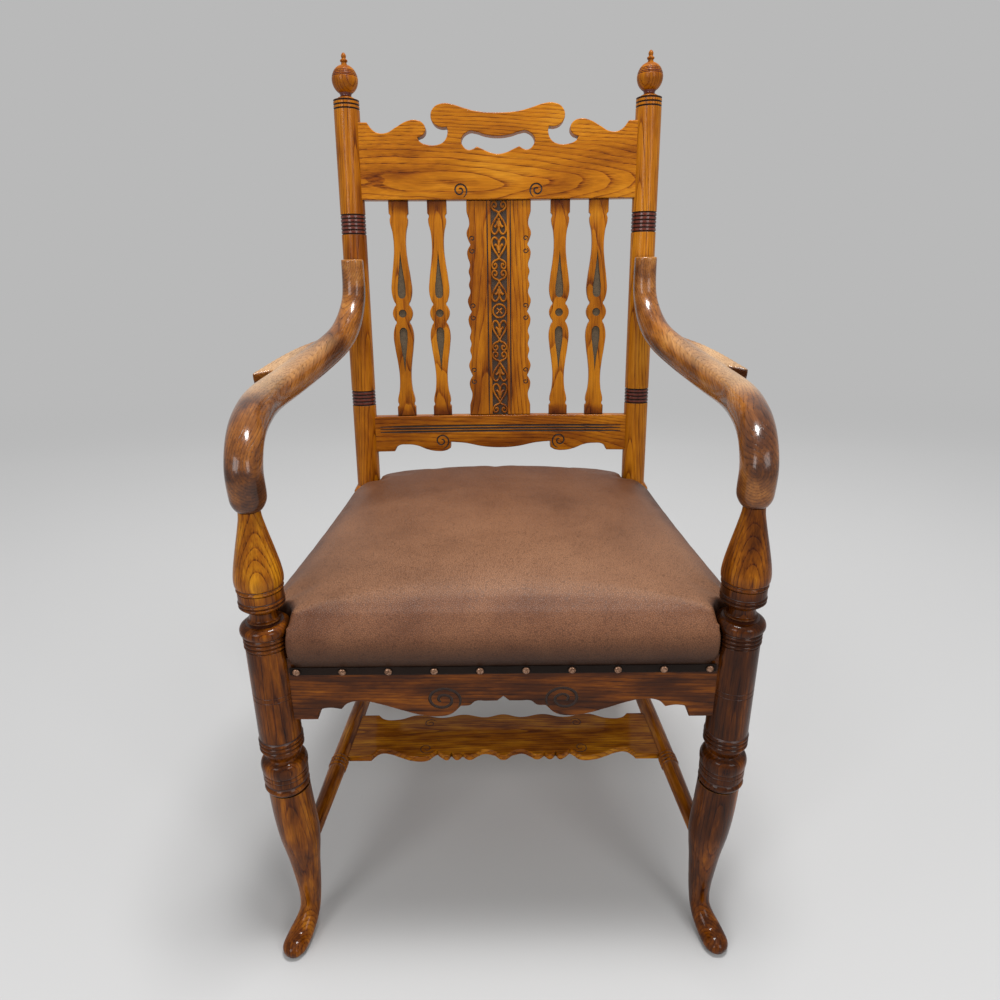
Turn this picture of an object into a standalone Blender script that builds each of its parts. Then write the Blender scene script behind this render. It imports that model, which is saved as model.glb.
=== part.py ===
"""Leather seat armchair: turned posts and legs, fretted back, stuffed leather seat.

Every sub-part is one named object. Metres, +Z up, the front of the chair faces -Y.
The origin lies on the floor under the middle of the chair.
"""
import math

import bmesh
import bpy
from mathutils import Matrix, Vector

# Overall plan
front_leg_spacing = 0.540
back_post_spacing = 0.444
seat_depth = 0.431
toe_reach = 0.058
rear_foot_set_back = 0.069

# Fits: the gap between touching pieces, and how deep the tenons go
fit = 0.0003
tenon_length = 0.014

# Seat frame
rail_top = 0.428
rail_thickness = 0.022
front_rail_drop = 0.0855
side_rail_height = 0.082
rail_tenon_thickness = 0.009
rail_tenon_height = 0.046
column_radius = 0.0252
block_size = 0.045
block_top = 0.480
block_bottom = 0.335
corner_block_reach = 0.072
corner_block_height = 0.040
corner_block_margin = 0.0015

# Back, measured up the raked posts from the top of the seat block
rake = math.radians(5.0)
post_radius = 0.0188
post_height = 0.581
lower_rail_bottom = 0.0562
lower_rail_height = 0.0592
slat_length = 0.3293
crest_end_height = 0.106
crest_thickness = 0.021
lower_rail_thickness = 0.019
slat_thickness = 0.010
splat_thickness = 0.013
back_bow = 0.010
slat_offsets = (0.0945, 0.153)
back_tenon_thickness = 0.009
slat_tenon_length = 0.009

# Finials
finial_ball_radius = 0.0188
finial_ball_height = 0.0270
finial_height = 0.0625
finial_dowel_radius = 0.005
finial_dowel_length = 0.016

# Front legs and arm supports
support_height = 0.606
support_tenon_radius = 0.007
support_tenon_length = 0.018
foot_cut_depth = 0.02

# Rear legs
rear_foot_width = 0.032

# Arms
arm_end_height = 0.3614
arm_dowel_radius = 0.005
arm_dowel_length = 0.034
arm_wing_thickness = 0.0145

# Stretchers
stretcher_height = 0.150
stretcher_front_inset = 0.020
stretcher_end_radius = 0.0100
stretcher_middle_radius = 0.0122
stretcher_ring_length = 0.020
stretcher_ring_gap = 0.002
cross_board_front = 0.1455
cross_board_depth = 0.0956
cross_board_thickness = 0.010
cross_tenon_width = 0.050
cross_tenon_thickness = 0.006
cross_tenon_length = 0.005

# Upholstery
web_width = 0.050
web_thickness = 0.0016
web_count = 4
web_side_margin = 0.055
canvas_thickness = 0.0010
leather_thickness = 0.0018
leather_hem_bottom = 0.4083
stuffing_gap = 0.0012
leather_bulge = 0.010
crown_height = 0.514
edge_height = 0.4740
back_rise = 0.018
back_crown = 0.018
leg_clearance = 0.0045
border_bottom = 0.4068
border_height = 0.0100
border_thickness = 0.0020
nail_radius = 0.0045
nail_height = 0.0026
nail_spacing = 0.0526
nail_end_room = 0.015

# How finely round things are divided
post_sides = 14
slim_sides = 12

front_leg_x = front_leg_spacing / 2
post_x = back_post_spacing / 2
overall_depth = toe_reach + seat_depth + rear_foot_set_back + rear_foot_width / 2
front_leg_y = toe_reach - overall_depth / 2
post_y = front_leg_y + seat_depth
rear_foot_y = post_y + rear_foot_set_back
rail_bottom = rail_top - side_rail_height
crest_bottom = lower_rail_bottom + lower_rail_height + slat_length
back_frame = Matrix.Translation((0, post_y, block_top)) @ Matrix.Rotation(-rake, 4, "X")
lean_forward = Matrix.Rotation(math.pi / 2, 4, "X")

SMOOTH = "AUTO"
CORNER = "VECTOR"


def clear_scene():
    for existing in list(bpy.data.objects):
        bpy.data.objects.remove(existing, do_unlink=True)


def new_collection(name):
    collection = bpy.data.collections.new(name)
    bpy.context.scene.collection.children.link(collection)
    return collection


def new_material(name, colour, roughness, metallic=0.0):
    material = bpy.data.materials.new(name)
    material.use_nodes = True
    shader = material.node_tree.nodes["Principled BSDF"]
    shader.inputs["Base Color"].default_value = (*colour, 1.0)
    shader.inputs["Roughness"].default_value = roughness
    shader.inputs["Metallic"].default_value = metallic
    return material


clear_scene()
chair = new_collection("leather_seat_armchair")
cutters = new_collection("cutters")
golden_oak = new_material("golden oak", (0.33, 0.13, 0.035), 0.40)
dark_oak = new_material("dark oak", (0.16, 0.060, 0.022), 0.35)
arm_oak = new_material("polished arm oak", (0.22, 0.075, 0.026), 0.28)
hidden_oak = new_material("hidden frame oak", (0.28, 0.14, 0.06), 0.60)
brown_leather = new_material("brown leather", (0.105, 0.048, 0.030), 0.45)
border_leather = new_material("border leather", (0.035, 0.018, 0.012), 0.50)
nail_bronze = new_material("antique nail bronze", (0.25, 0.13, 0.08), 0.40, 1.0)
webbing_cloth = new_material("jute webbing", (0.36, 0.27, 0.16), 0.90)
canvas_cloth = new_material("hessian", (0.42, 0.33, 0.20), 0.95)
stuffing_hair = new_material("horsehair stuffing", (0.06, 0.045, 0.035), 0.95)


def finish(target, material, name=None):
    """Give a part its name, its material, its collection and its shading."""
    if name:
        target.name = name
    target.data.name = target.name
    target.data.materials.clear()
    target.data.materials.append(material)
    target.data.shade_smooth()
    target.data.set_sharp_from_angle(angle=math.radians(35))
    return target


def new_object(name, mesh, collection=None):
    added = bpy.data.objects.new(name, mesh)
    (collection or chair).objects.link(added)
    return added


def object_from_bmesh(name, bm):
    bm.normal_update()
    bmesh.ops.recalc_face_normals(bm, faces=bm.faces[:])
    mesh = bpy.data.meshes.new(name)
    bm.to_mesh(mesh)
    bm.free()
    return new_object(name, mesh)


def evaluated_mesh(target):
    """The mesh that the modifiers or the curve make."""
    depsgraph = bpy.context.evaluated_depsgraph_get()
    return bpy.data.meshes.new_from_object(target.evaluated_get(depsgraph))


def apply_modifiers(target):
    mesh = evaluated_mesh(target)
    target.modifiers.clear()
    target.data = mesh


def add_boolean(target, other, operation):
    modifier = target.modifiers.new(operation.lower(), "BOOLEAN")
    modifier.operation = operation
    modifier.solver = "EXACT"
    modifier.object = other


def cut(target, cutter):
    """Leave the cutter in the scene as a wire and take its shape out of the target."""
    if cutter.name not in cutters.objects:
        chair.objects.unlink(cutter)
        cutters.objects.link(cutter)
        cutter.hide_render = True
        cutter.display_type = "WIRE"
    add_boolean(target, cutter, "DIFFERENCE")


def join(target, *additions):
    """Make one body of the target and the pieces that overlap it."""
    for addition in additions:
        add_boolean(target, addition, "UNION")
    apply_modifiers(target)
    for addition in additions:
        bpy.data.objects.remove(addition, do_unlink=True)


def box(name, low, high, matrix=None):
    low = Vector(low)
    high = Vector(high)
    size = high - low
    bm = bmesh.new()
    place = Matrix.Translation((low + high) / 2) @ Matrix.Diagonal((*size, 1.0))
    bmesh.ops.create_cube(bm, size=1.0, matrix=place)
    if matrix is not None:
        bm.transform(matrix)
    return object_from_bmesh(name, bm)


def aim(direction):
    """The shortest turn that takes +Z to the direction."""
    return Vector((0, 0, 1)).rotation_difference(direction).to_matrix().to_4x4()


def cylinder(name, start, end, radius, sides=slim_sides):
    """A cylinder whose flats lie as those of a turned piece on the same axis."""
    start = Vector(start)
    end = Vector(end)
    axis = end - start
    bm = bmesh.new()
    place = Matrix.Translation((start + end) / 2) @ aim(axis)
    place = place @ Matrix.Rotation(math.pi / 2, 4, "Z")
    bmesh.ops.create_cone(
        bm, cap_ends=True, segments=sides, radius1=radius, radius2=radius,
        depth=axis.length, matrix=place,
    )
    return object_from_bmesh(name, bm)


def prism(name, loops, thickness, resolution=3):
    """A flat outline in X and Z, as thick as given along Y, centred on Y = 0.

    Each loop lists (x, z, kind); a second loop inside the first is a hole.
    """
    curve = bpy.data.curves.new(name, "CURVE")
    curve.dimensions = "2D"
    curve.fill_mode = "BOTH"
    curve.extrude = thickness / 2
    for loop in loops:
        spline = curve.splines.new("BEZIER")
        spline.resolution_u = resolution
        spline.bezier_points.add(len(loop) - 1)
        for point, (x, z, kind) in zip(spline.bezier_points, loop):
            point.co = (x, z, 0)
            point.handle_left_type = kind
            point.handle_right_type = kind
        spline.use_cyclic_u = True
    outline = bpy.data.objects.new(name + "_outline", curve)
    chair.objects.link(outline)
    mesh = evaluated_mesh(outline)
    bpy.data.objects.remove(outline, do_unlink=True)
    bm = bmesh.new()
    bm.from_mesh(mesh)
    bpy.data.meshes.remove(mesh)
    bmesh.ops.remove_doubles(bm, verts=bm.verts[:], dist=0.00001)
    bmesh.ops.dissolve_limit(bm, angle_limit=0.001, verts=bm.verts[:], edges=bm.edges[:])
    bm.transform(lean_forward)
    return object_from_bmesh(name, bm)


def mirrored(half):
    """Outline points for both sides, from the left half listed from left to middle."""
    right = [(-x, z, kind) for x, z, kind in reversed(half) if x != 0]
    return list(half) + right


def turned(name, profile, sides=post_sides):
    """A turned piece round Z, from (radius, height) points listed from top to bottom."""
    mesh = bpy.data.meshes.new(name)
    edges = [(index, index + 1) for index in range(len(profile) - 1)]
    mesh.from_pydata([(radius, 0, height) for radius, height in profile], edges, [])
    target = new_object(name, mesh)
    screw = target.modifiers.new("turning", "SCREW")
    screw.axis = "Z"
    screw.angle = math.tau
    screw.steps = sides
    screw.render_steps = sides
    screw.use_merge_vertices = True
    screw.merge_threshold = 0.00002
    apply_modifiers(target)
    return target


def smooth_path(stations, steps):
    """Catmull-Rom values between rows of numbers, so a few rows shape a long curve."""
    rows = []
    last = len(stations) - 1
    for index in range(last):
        before = Vector(stations[max(index - 1, 0)])
        start = Vector(stations[index])
        end = Vector(stations[index + 1])
        after = Vector(stations[min(index + 2, last)])
        for step in range(steps):
            t = step / steps
            rows.append(
                0.5 * (2 * start + (end - before) * t
                       + (2 * before - 5 * start + 4 * end - after) * t ** 2
                       + (3 * start - before - 3 * end + after) * t ** 3)
            )
    rows.append(Vector(stations[last]))
    return rows


def sweep(name, stations, sides=slim_sides, squareness=2.0, steps=2):
    """A solid along a bent path.

    A station is (x, y, z, width, depth): width runs across the chair and depth is
    square to both the width and the path. Squareness 2 is round, more is boxier.
    """
    rows = smooth_path(stations, steps)
    centres = [Vector(row[:3]) for row in rows]
    bm = bmesh.new()
    rings = []
    for index, row in enumerate(rows):
        before = centres[max(index - 1, 0)]
        after = centres[min(index + 1, len(centres) - 1)]
        along = (after - before).normalized()
        across = Vector((1, 0, 0))
        across = (across - across.dot(along) * along).normalized()
        up = across.cross(along)
        ring = []
        for side in range(sides):
            angle = math.tau * (side + 0.5) / sides
            cosine = math.cos(angle)
            sine = math.sin(angle)
            reach_x = math.copysign(abs(cosine) ** (2 / squareness), cosine) * row[3] / 2
            reach_y = math.copysign(abs(sine) ** (2 / squareness), sine) * row[4] / 2
            ring.append(bm.verts.new(centres[index] + across * reach_x + up * reach_y))
        rings.append(ring)
    for lower, upper in zip(rings, rings[1:]):
        for side in range(sides):
            other = (side + 1) % sides
            bm.faces.new((lower[side], lower[other], upper[other], upper[side]))
    bm.faces.new(rings[0])
    bm.faces.new(rings[-1])
    return object_from_bmesh(name, bm)


def move_vertices(target, change):
    for vertex in target.data.vertices:
        vertex.co = change(vertex.co)


def mirror_copy(source, name, material):
    """The same piece for the other side of the chair."""
    bm = bmesh.new()
    bm.from_mesh(evaluated_mesh(source))
    bm.transform(Matrix.Diagonal((-1, 1, 1, 1)))
    return finish(object_from_bmesh(name, bm), material)


def bow(x):
    """How far back the bowed back lies from the line between the posts."""
    return back_bow * (1 - (x / post_x) ** 2)


def slice_across(target, spacing=0.04):
    """Add edges across a wide flat piece, so that it can follow the bow."""
    bm = bmesh.new()
    bm.from_mesh(target.data)
    count = math.ceil(post_x / spacing)
    for index in range(-count, count + 1):
        bmesh.ops.bisect_plane(
            bm, geom=bm.verts[:] + bm.edges[:] + bm.faces[:], dist=0.00001,
            plane_co=(index * spacing, 0, 0), plane_no=(1, 0, 0),
        )
    bm.to_mesh(target.data)
    bm.free()


def set_in_back(target):
    """Bend a flat back piece to the bow and lean it with the posts."""
    move_vertices(
        target, lambda point: back_frame @ Vector((point.x, point.y + bow(point.x), point.z))
    )


def reeds(count, top, pitch, crest, hollow):
    """Profile points of turned reeds, from top to bottom."""
    points = []
    for index in range(count):
        points.append((hollow, top - index * pitch))
        points.append((crest, top - (index + 0.5) * pitch))
    points.append((hollow, top - count * pitch))
    return points


# Back posts

reed_pitch = 0.0054
upper_band_top = 0.4236
upper_band_reeds = 5
lower_band_top = 0.1576
lower_band_reeds = 4
post_overlap = 0.030


def rear_leg_y(z):
    """The rear leg sweeps back below the seat block."""
    share = max(0.0, 1 - z / block_bottom)
    return post_y + rear_foot_set_back * share ** 1.6


def make_post_profile():
    groove = post_radius - 0.0014
    profile = [(0, post_height), (post_radius, post_height)]
    profile += reeds(2, post_height - 0.0015, reed_pitch, post_radius, groove)
    profile.append((post_radius, post_height - 0.0140))
    profile.append((post_radius, upper_band_top + 0.0012))
    profile += reeds(upper_band_reeds, upper_band_top, reed_pitch, post_radius, groove)
    profile.append((post_radius, upper_band_top - upper_band_reeds * reed_pitch - 0.0012))
    profile.append((post_radius, lower_band_top + 0.0012))
    profile += reeds(lower_band_reeds, lower_band_top, reed_pitch, post_radius, groove)
    profile.append((post_radius, lower_band_top - lower_band_reeds * reed_pitch - 0.0012))
    profile.append((post_radius, -post_overlap))
    profile.append((0, -post_overlap))
    return profile


def make_rear_leg():
    """The square block at the seat and the leg below it, in one piece."""
    chamfer = 0.004
    sizes = [
        (block_top, block_size - 2 * chamfer),
        (block_top - chamfer, block_size),
        (block_bottom, block_size),
        (block_bottom - 0.012, block_size - 0.006),
    ]
    lower_steps = 6
    for step in range(1, lower_steps + 1):
        share = step / lower_steps
        z = (block_bottom - 0.012) * (1 - share)
        sizes.append((z, block_size - 0.006 + (rear_foot_width - block_size + 0.006) * share))
    bm = bmesh.new()
    rings = []
    for z, size in sizes:
        half = size / 2
        nick = min(chamfer, half / 4)
        ring = []
        for sign_x, sign_y in ((1, 1), (-1, 1), (-1, -1), (1, -1)):
            corners = [(half, half - nick), (half - nick, half)]
            if sign_x * sign_y < 0:
                corners.reverse()
            for x, y in corners:
                place = Vector((post_x + sign_x * x, rear_leg_y(z) + sign_y * y, z))
                ring.append(bm.verts.new(place))
        rings.append(ring)
    for upper, lower in zip(rings, rings[1:]):
        for side in range(len(upper)):
            other = (side + 1) % len(upper)
            bm.faces.new((upper[side], upper[other], lower[other], lower[side]))
    bm.faces.new(rings[0])
    bm.faces.new(rings[-1])
    return object_from_bmesh("rear_leg", bm)


def make_back_post():
    post = turned("back_post", make_post_profile())
    post.data.transform(back_frame @ Matrix.Translation((post_x, 0, 0)))
    join(post, make_rear_leg())
    return post


# Front legs

def make_front_leg_profile():
    """The turned arm support, column and rings above the knee."""
    top = support_height
    profile = [
        (0, top + support_tenon_length),
        (support_tenon_radius, top + support_tenon_length),
        (support_tenon_radius, top),
        (0.0118, top),
        (0.0124, top - 0.0080),
        (0.0158, top - 0.0240),
        (0.0208, top - 0.0450),
        (0.0254, top - 0.0660),
        (0.0272, top - 0.0800),
        (0.0266, top - 0.0865),
        (0.0238, top - 0.0890),
        (0.0258, top - 0.0915),
        (0.0250, top - 0.0940),
        (0.0250, top - 0.1030),
        (0.0236, top - 0.1048),
        (0.0256, top - 0.1068),
        (0.0236, top - 0.1091),
        (0.0252, top - 0.1113),
        (0.0225, top - 0.1150),
        (0.0156, top - 0.1180),
        (0.0156, top - 0.1285),
        (0.0190, top - 0.1312),
        (0.0170, top - 0.1332),
        (0.0230, top - 0.1350),
        (0.0275, top - 0.1383),
        (0.0288, top - 0.1420),
        (0.0276, top - 0.1465),
    ]
    profile += reeds(3, top - 0.1495, 0.0052, 0.0262, 0.0244)
    profile += [
        (column_radius, top - 0.1662),
        (column_radius, rail_top - front_rail_drop - 0.006),
        (0.0244, 0.3170),
    ]
    profile += reeds(3, 0.3145, 0.0056, 0.0262, 0.0244)
    profile += [
        (0.0240, 0.2940),
        (0.0205, 0.2885),
        (0.0205, 0.2860),
        (0.0240, 0.2832),
        (0.0274, 0.2790),
        (0.0282, 0.2735),
        (0.0274, 0.2680),
    ]
    profile += reeds(2, 0.2655, 0.0060, 0.0272, 0.0258)
    profile += [
        (0.0266, 0.2515),
        (0.0252, 0.2484),
        (0.0272, 0.2445),
        (0.0272, 0.2415),
        (0.0254, 0.2385),
        (0, 0.2385),
    ]
    return profile


def make_front_leg():
    leg = turned("front_leg", make_front_leg_profile())
    leg.data.transform(Matrix.Translation((front_leg_x, front_leg_y, 0)))
    knee_and_foot = (
        (-0.0015, 0.0000, 0.2480, 0.0480, 0.0480),
        (-0.0018, 0.0000, 0.2280, 0.0506, 0.0506),
        (-0.0040, 0.0000, 0.1950, 0.0512, 0.0512),
        (-0.0070, 0.0000, 0.1620, 0.0500, 0.0500),
        (-0.0090, 0.0000, 0.1140, 0.0380, 0.0380),
        (-0.0098, 0.0005, 0.0700, 0.0300, 0.0300),
        (-0.0086, 0.0005, 0.0440, 0.0268, 0.0276),
        (-0.0074, -0.0040, 0.0300, 0.0262, 0.0286),
        (-0.0040, -0.0135, 0.0195, 0.0284, 0.0290),
        (0.0015, -0.0290, 0.0117, 0.0318, 0.0260),
        (0.0052, -0.0450, 0.0100, 0.0310, 0.0226),
        (0.0070, -toe_reach + 0.0035, 0.0104, 0.0190, 0.0150),
        (0.0075, -toe_reach, 0.0106, 0.0100, 0.0090),
    )
    stations = [
        (front_leg_x + x, front_leg_y + y, z, width, depth)
        for x, y, z, width, depth in knee_and_foot
    ]
    foot = sweep("foot", stations, sides=post_sides, steps=1)
    join(leg, foot)
    reach = 0.2
    below = box(
        "floor_cut",
        (front_leg_x - reach, front_leg_y - reach, -foot_cut_depth),
        (front_leg_x + reach, front_leg_y + reach, 0),
    )
    add_boolean(leg, below, "DIFFERENCE")
    apply_modifiers(leg)
    bpy.data.objects.remove(below, do_unlink=True)
    return leg


# Seat rails

side_start = Vector((front_leg_x, front_leg_y, 0))
side_end = Vector((post_x, post_y, 0))
side_run = side_end - side_start
side_direction = side_run.normalized()
side_out = Vector((side_direction.y, -side_direction.x, 0))
side_frame = Matrix((
    (side_direction.x, side_out.x, 0, side_start.x),
    (side_direction.y, side_out.y, 0, side_start.y),
    (0, 0, 1, 0),
    (0, 0, 0, 1),
))
rail_tenon_low = rail_top - 0.012 - rail_tenon_height
rail_tenon_high = rail_top - 0.012
side_tenon_start = column_radius - tenon_length
side_tenon_end = side_run.length - block_size / 2 + tenon_length
cope_bottom = rail_top - 0.15
cope_top = rail_top + 0.15


def rail_tenon(name, low, high, matrix=None, grow=0.0):
    """A tenon, or the mortise for it when it grows by the fit."""
    return box(
        name,
        [value - grow for value in low],
        [value + grow for value in high],
        matrix,
    )


def make_side_rail():
    half = rail_thickness / 2
    rail = box(
        "side_rail", (0, -half, rail_bottom), (side_run.length, half, rail_top), side_frame
    )
    column = cylinder(
        "side_rail_cope", (front_leg_x, front_leg_y, cope_bottom),
        (front_leg_x, front_leg_y, cope_top),
        column_radius + fit, post_sides,
    )
    block = post_block_space("side_rail_shoulder", fit)
    for space in (column, block):
        add_boolean(rail, space, "DIFFERENCE")
    apply_modifiers(rail)
    for space in (column, block):
        bpy.data.objects.remove(space, do_unlink=True)
    half_tenon = rail_tenon_thickness / 2
    front = rail_tenon(
        "tenon", (side_tenon_start, -half_tenon, rail_tenon_low),
        (column_radius + 0.01, half_tenon, rail_tenon_high), side_frame,
    )
    back = rail_tenon(
        "tenon", (side_run.length - block_size / 2 - 0.01, -half_tenon, rail_tenon_low),
        (side_tenon_end, half_tenon, rail_tenon_high), side_frame,
    )
    join(rail, front, back)
    return rail


def post_block_space(name, grow):
    half = block_size / 2 + grow
    return box(
        name, (post_x - half, post_y - half, cope_bottom),
        (post_x + half, post_y + half, cope_top),
    )


def side_mortise(name):
    half_tenon = rail_tenon_thickness / 2
    return rail_tenon(
        name, (side_tenon_start, -half_tenon, rail_tenon_low),
        (side_tenon_end, half_tenon, rail_tenon_high), side_frame, fit,
    )


front_tenon_x = front_leg_x - column_radius + tenon_length
back_tenon_x = post_x - block_size / 2 + tenon_length


def cross_mortise(name, reach, y):
    half_tenon = rail_tenon_thickness / 2
    return rail_tenon(
        name, (-reach, y - half_tenon, rail_tenon_low),
        (reach, y + half_tenon, rail_tenon_high), None, fit,
    )


def make_front_rail():
    top = rail_top
    low = top - front_rail_drop
    end = front_leg_x
    profile = [
        (-end, top, CORNER),
        (-end, low, CORNER),
        (-0.2195, low, CORNER),
        (-0.2160, low + 0.0125, SMOOTH),
        (-0.2060, low + 0.0160, SMOOTH),
        (-0.1905, low + 0.0142, CORNER),
        (-0.1825, low + 0.0222, SMOOTH),
        (-0.1650, low + 0.0250, SMOOTH),
        (-0.1435, low + 0.0203, SMOOTH),
        (-0.1174, low + 0.0110, SMOOTH),
        (-0.0949, low + 0.0044, SMOOTH),
        (-0.0758, low + 0.0024, SMOOTH),
        (-0.0615, low + 0.0060, SMOOTH),
        (-0.0498, low + 0.0172, CORNER),
        (-0.0395, low + 0.0182, SMOOTH),
        (-0.0321, low + 0.0238, SMOOTH),
        (-0.0200, low + 0.0240, SMOOTH),
        (-0.0070, low + 0.0242, CORNER),
        (0, low + 0.0305, CORNER),
    ]
    rail = prism("front_rail", [mirrored(profile)], rail_thickness)
    rail.data.transform(Matrix.Translation((0, front_leg_y, 0)))
    for side in (-1, 1):
        x = side * front_leg_x
        column = cylinder(
            "front_rail_cope", (x, front_leg_y, cope_bottom), (x, front_leg_y, cope_top),
            column_radius + fit, post_sides,
        )
        add_boolean(rail, column, "DIFFERENCE")
        apply_modifiers(rail)
        bpy.data.objects.remove(column, do_unlink=True)
    keep_between(rail, front_leg_x - column_radius * 0.4)
    half_tenon = rail_tenon_thickness / 2
    for side in (-1, 1):
        ends = sorted((side * (front_tenon_x - tenon_length - 0.012), side * front_tenon_x))
        tenon = rail_tenon(
            "tenon", (ends[0], front_leg_y - half_tenon, rail_tenon_low),
            (ends[1], front_leg_y + half_tenon, rail_tenon_high),
        )
        join(rail, tenon)
    return rail


def loose_parts(bm):
    """The separate bodies of a mesh, as sets of vertices, smallest first."""
    islands = []
    seen = set()
    for start in bm.verts:
        if start in seen:
            continue
        island = {start}
        waiting = [start]
        while waiting:
            for edge in waiting.pop().link_edges:
                for vertex in edge.verts:
                    if vertex not in island:
                        island.add(vertex)
                        waiting.append(vertex)
        seen |= island
        islands.append(island)
    return sorted(islands, key=len)


def keep_between(target, reach):
    """Drop the loose slivers that a cope leaves beyond the joint."""
    bm = bmesh.new()
    bm.from_mesh(target.data)
    for island in loose_parts(bm):
        if min(abs(vertex.co.x) for vertex in island) > reach:
            bmesh.ops.delete(bm, geom=list(island), context="VERTS")
    bm.to_mesh(target.data)
    bm.free()


def keep_largest(target):
    """Keep the main body where a notch cuts off a loose corner."""
    bm = bmesh.new()
    bm.from_mesh(target.data)
    for island in loose_parts(bm)[:-1]:
        bmesh.ops.delete(bm, geom=list(island), context="VERTS")
    bm.to_mesh(target.data)
    bm.free()


def make_back_rail():
    half = rail_thickness / 2
    half_tenon = rail_tenon_thickness / 2
    end = post_x - block_size / 2 - fit
    rail = box(
        "back_rail", (-end, post_y - half, rail_bottom), (end, post_y + half, rail_top)
    )
    tenon = rail_tenon(
        "tenon", (-back_tenon_x, post_y - half_tenon, rail_tenon_low),
        (back_tenon_x, post_y + half_tenon, rail_tenon_high),
    )
    join(rail, tenon)
    return rail


def line_crossing(point_a, direction_a, point_b, direction_b):
    """Where two lines in plan cross."""
    denominator = direction_a.x * direction_b.y - direction_a.y * direction_b.x
    offset = point_b - point_a
    share = (offset.x * direction_b.y - offset.y * direction_b.x) / denominator
    return point_a + direction_a * share


def make_corner_block(at_front):
    """A glue block in the corner of two rails, cleared for the leg between them."""
    inset = rail_thickness / 2 + fit
    side_point = side_start - side_out * inset
    along_side = side_direction if at_front else -side_direction
    cross_y = front_leg_y + inset if at_front else post_y - inset
    cross_point = Vector((0, cross_y, 0))
    corner = line_crossing(side_point, side_direction, cross_point, Vector((1, 0, 0)))
    points = [
        corner,
        corner + along_side * corner_block_reach,
        corner + Vector((-corner_block_reach, 0, 0)),
    ]
    loop = [(point.x, point.y, CORNER) for point in points]
    block = prism("corner_block", [loop], corner_block_height, 1)
    block.data.transform(lean_forward.inverted())
    block.data.transform(
        Matrix.Translation((0, 0, rail_tenon_high - corner_block_height / 2 - 0.004))
    )
    if at_front:
        space = cylinder(
            "corner_space", (front_leg_x, front_leg_y, cope_bottom),
            (front_leg_x, front_leg_y, cope_top),
            column_radius + corner_block_margin, post_sides,
        )
    else:
        space = post_block_space("corner_space", corner_block_margin)
    add_boolean(block, space, "DIFFERENCE")
    apply_modifiers(block)
    bpy.data.objects.remove(space, do_unlink=True)
    return block


# Back panel pieces, made flat and then set in the bowed, raked back

back_tenon_end = post_x - post_radius + tenon_length
crest_tenon_low = crest_bottom + 0.020
crest_tenon_high = crest_bottom + 0.080
lower_tenon_low = lower_rail_bottom + 0.018
lower_tenon_high = lower_rail_bottom + 0.050


def back_tenon(name, side, low, high, grow=0.0):
    half = back_tenon_thickness / 2 + grow
    start = post_x - post_radius - 0.012
    ends = sorted((side * start, side * (back_tenon_end + grow)))
    tenon = box(name, (ends[0], -half, low - grow), (ends[1], half, high + grow))
    slice_across(tenon, post_radius)
    return tenon


def cope_to_posts(rail):
    """Hollow the ends of a back rail to sit against the round posts."""
    for side in (-1, 1):
        post = cylinder(
            "post_space", (side * post_x, 0, -0.1), (side * post_x, 0, post_height + 0.1),
            post_radius + fit, post_sides,
        )
        move_vertices(post, lambda point: Vector((point.x, point.y - bow(point.x), point.z)))
        add_boolean(rail, post, "DIFFERENCE")
        apply_modifiers(rail)
        bpy.data.objects.remove(post, do_unlink=True)


def slat_tenon(name, x, width, thickness, at_top, grow=0.0):
    half = width / 2 + grow
    depth = thickness / 2 + grow
    if at_top:
        low = crest_bottom - 0.004 if grow == 0 else crest_bottom - 0.010
        high = crest_bottom + slat_tenon_length + grow
    else:
        low = crest_bottom - slat_length - slat_tenon_length - grow
        high = crest_bottom - slat_length + (0.004 if grow == 0 else 0.010)
    return box(name, (x - half, -depth, low), (x + half, depth, high))


slat_tenon_width = 0.020
slat_tenon_thickness = 0.006
splat_tenon_width = 0.070
splat_tenon_thickness = 0.007


def cut_slat_mortises(rail, at_top):
    places = [(0, splat_tenon_width, splat_tenon_thickness)]
    for offset in slat_offsets:
        for side in (-1, 1):
            places.append((side * offset, slat_tenon_width, slat_tenon_thickness))
    for x, width, thickness in places:
        mortise = slat_tenon("mortise", x, width, thickness, at_top, fit)
        add_boolean(rail, mortise, "DIFFERENCE")
        apply_modifiers(rail)
        bpy.data.objects.remove(mortise, do_unlink=True)


def finish_back_rail(rail, tenon_low, tenon_high):
    slice_across(rail)
    cope_to_posts(rail)
    keep_between(rail, post_x - post_radius * 0.5)
    for side in (-1, 1):
        join(rail, back_tenon("tenon", side, tenon_low, tenon_high))
    set_in_back(rail)
    return rail


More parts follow.
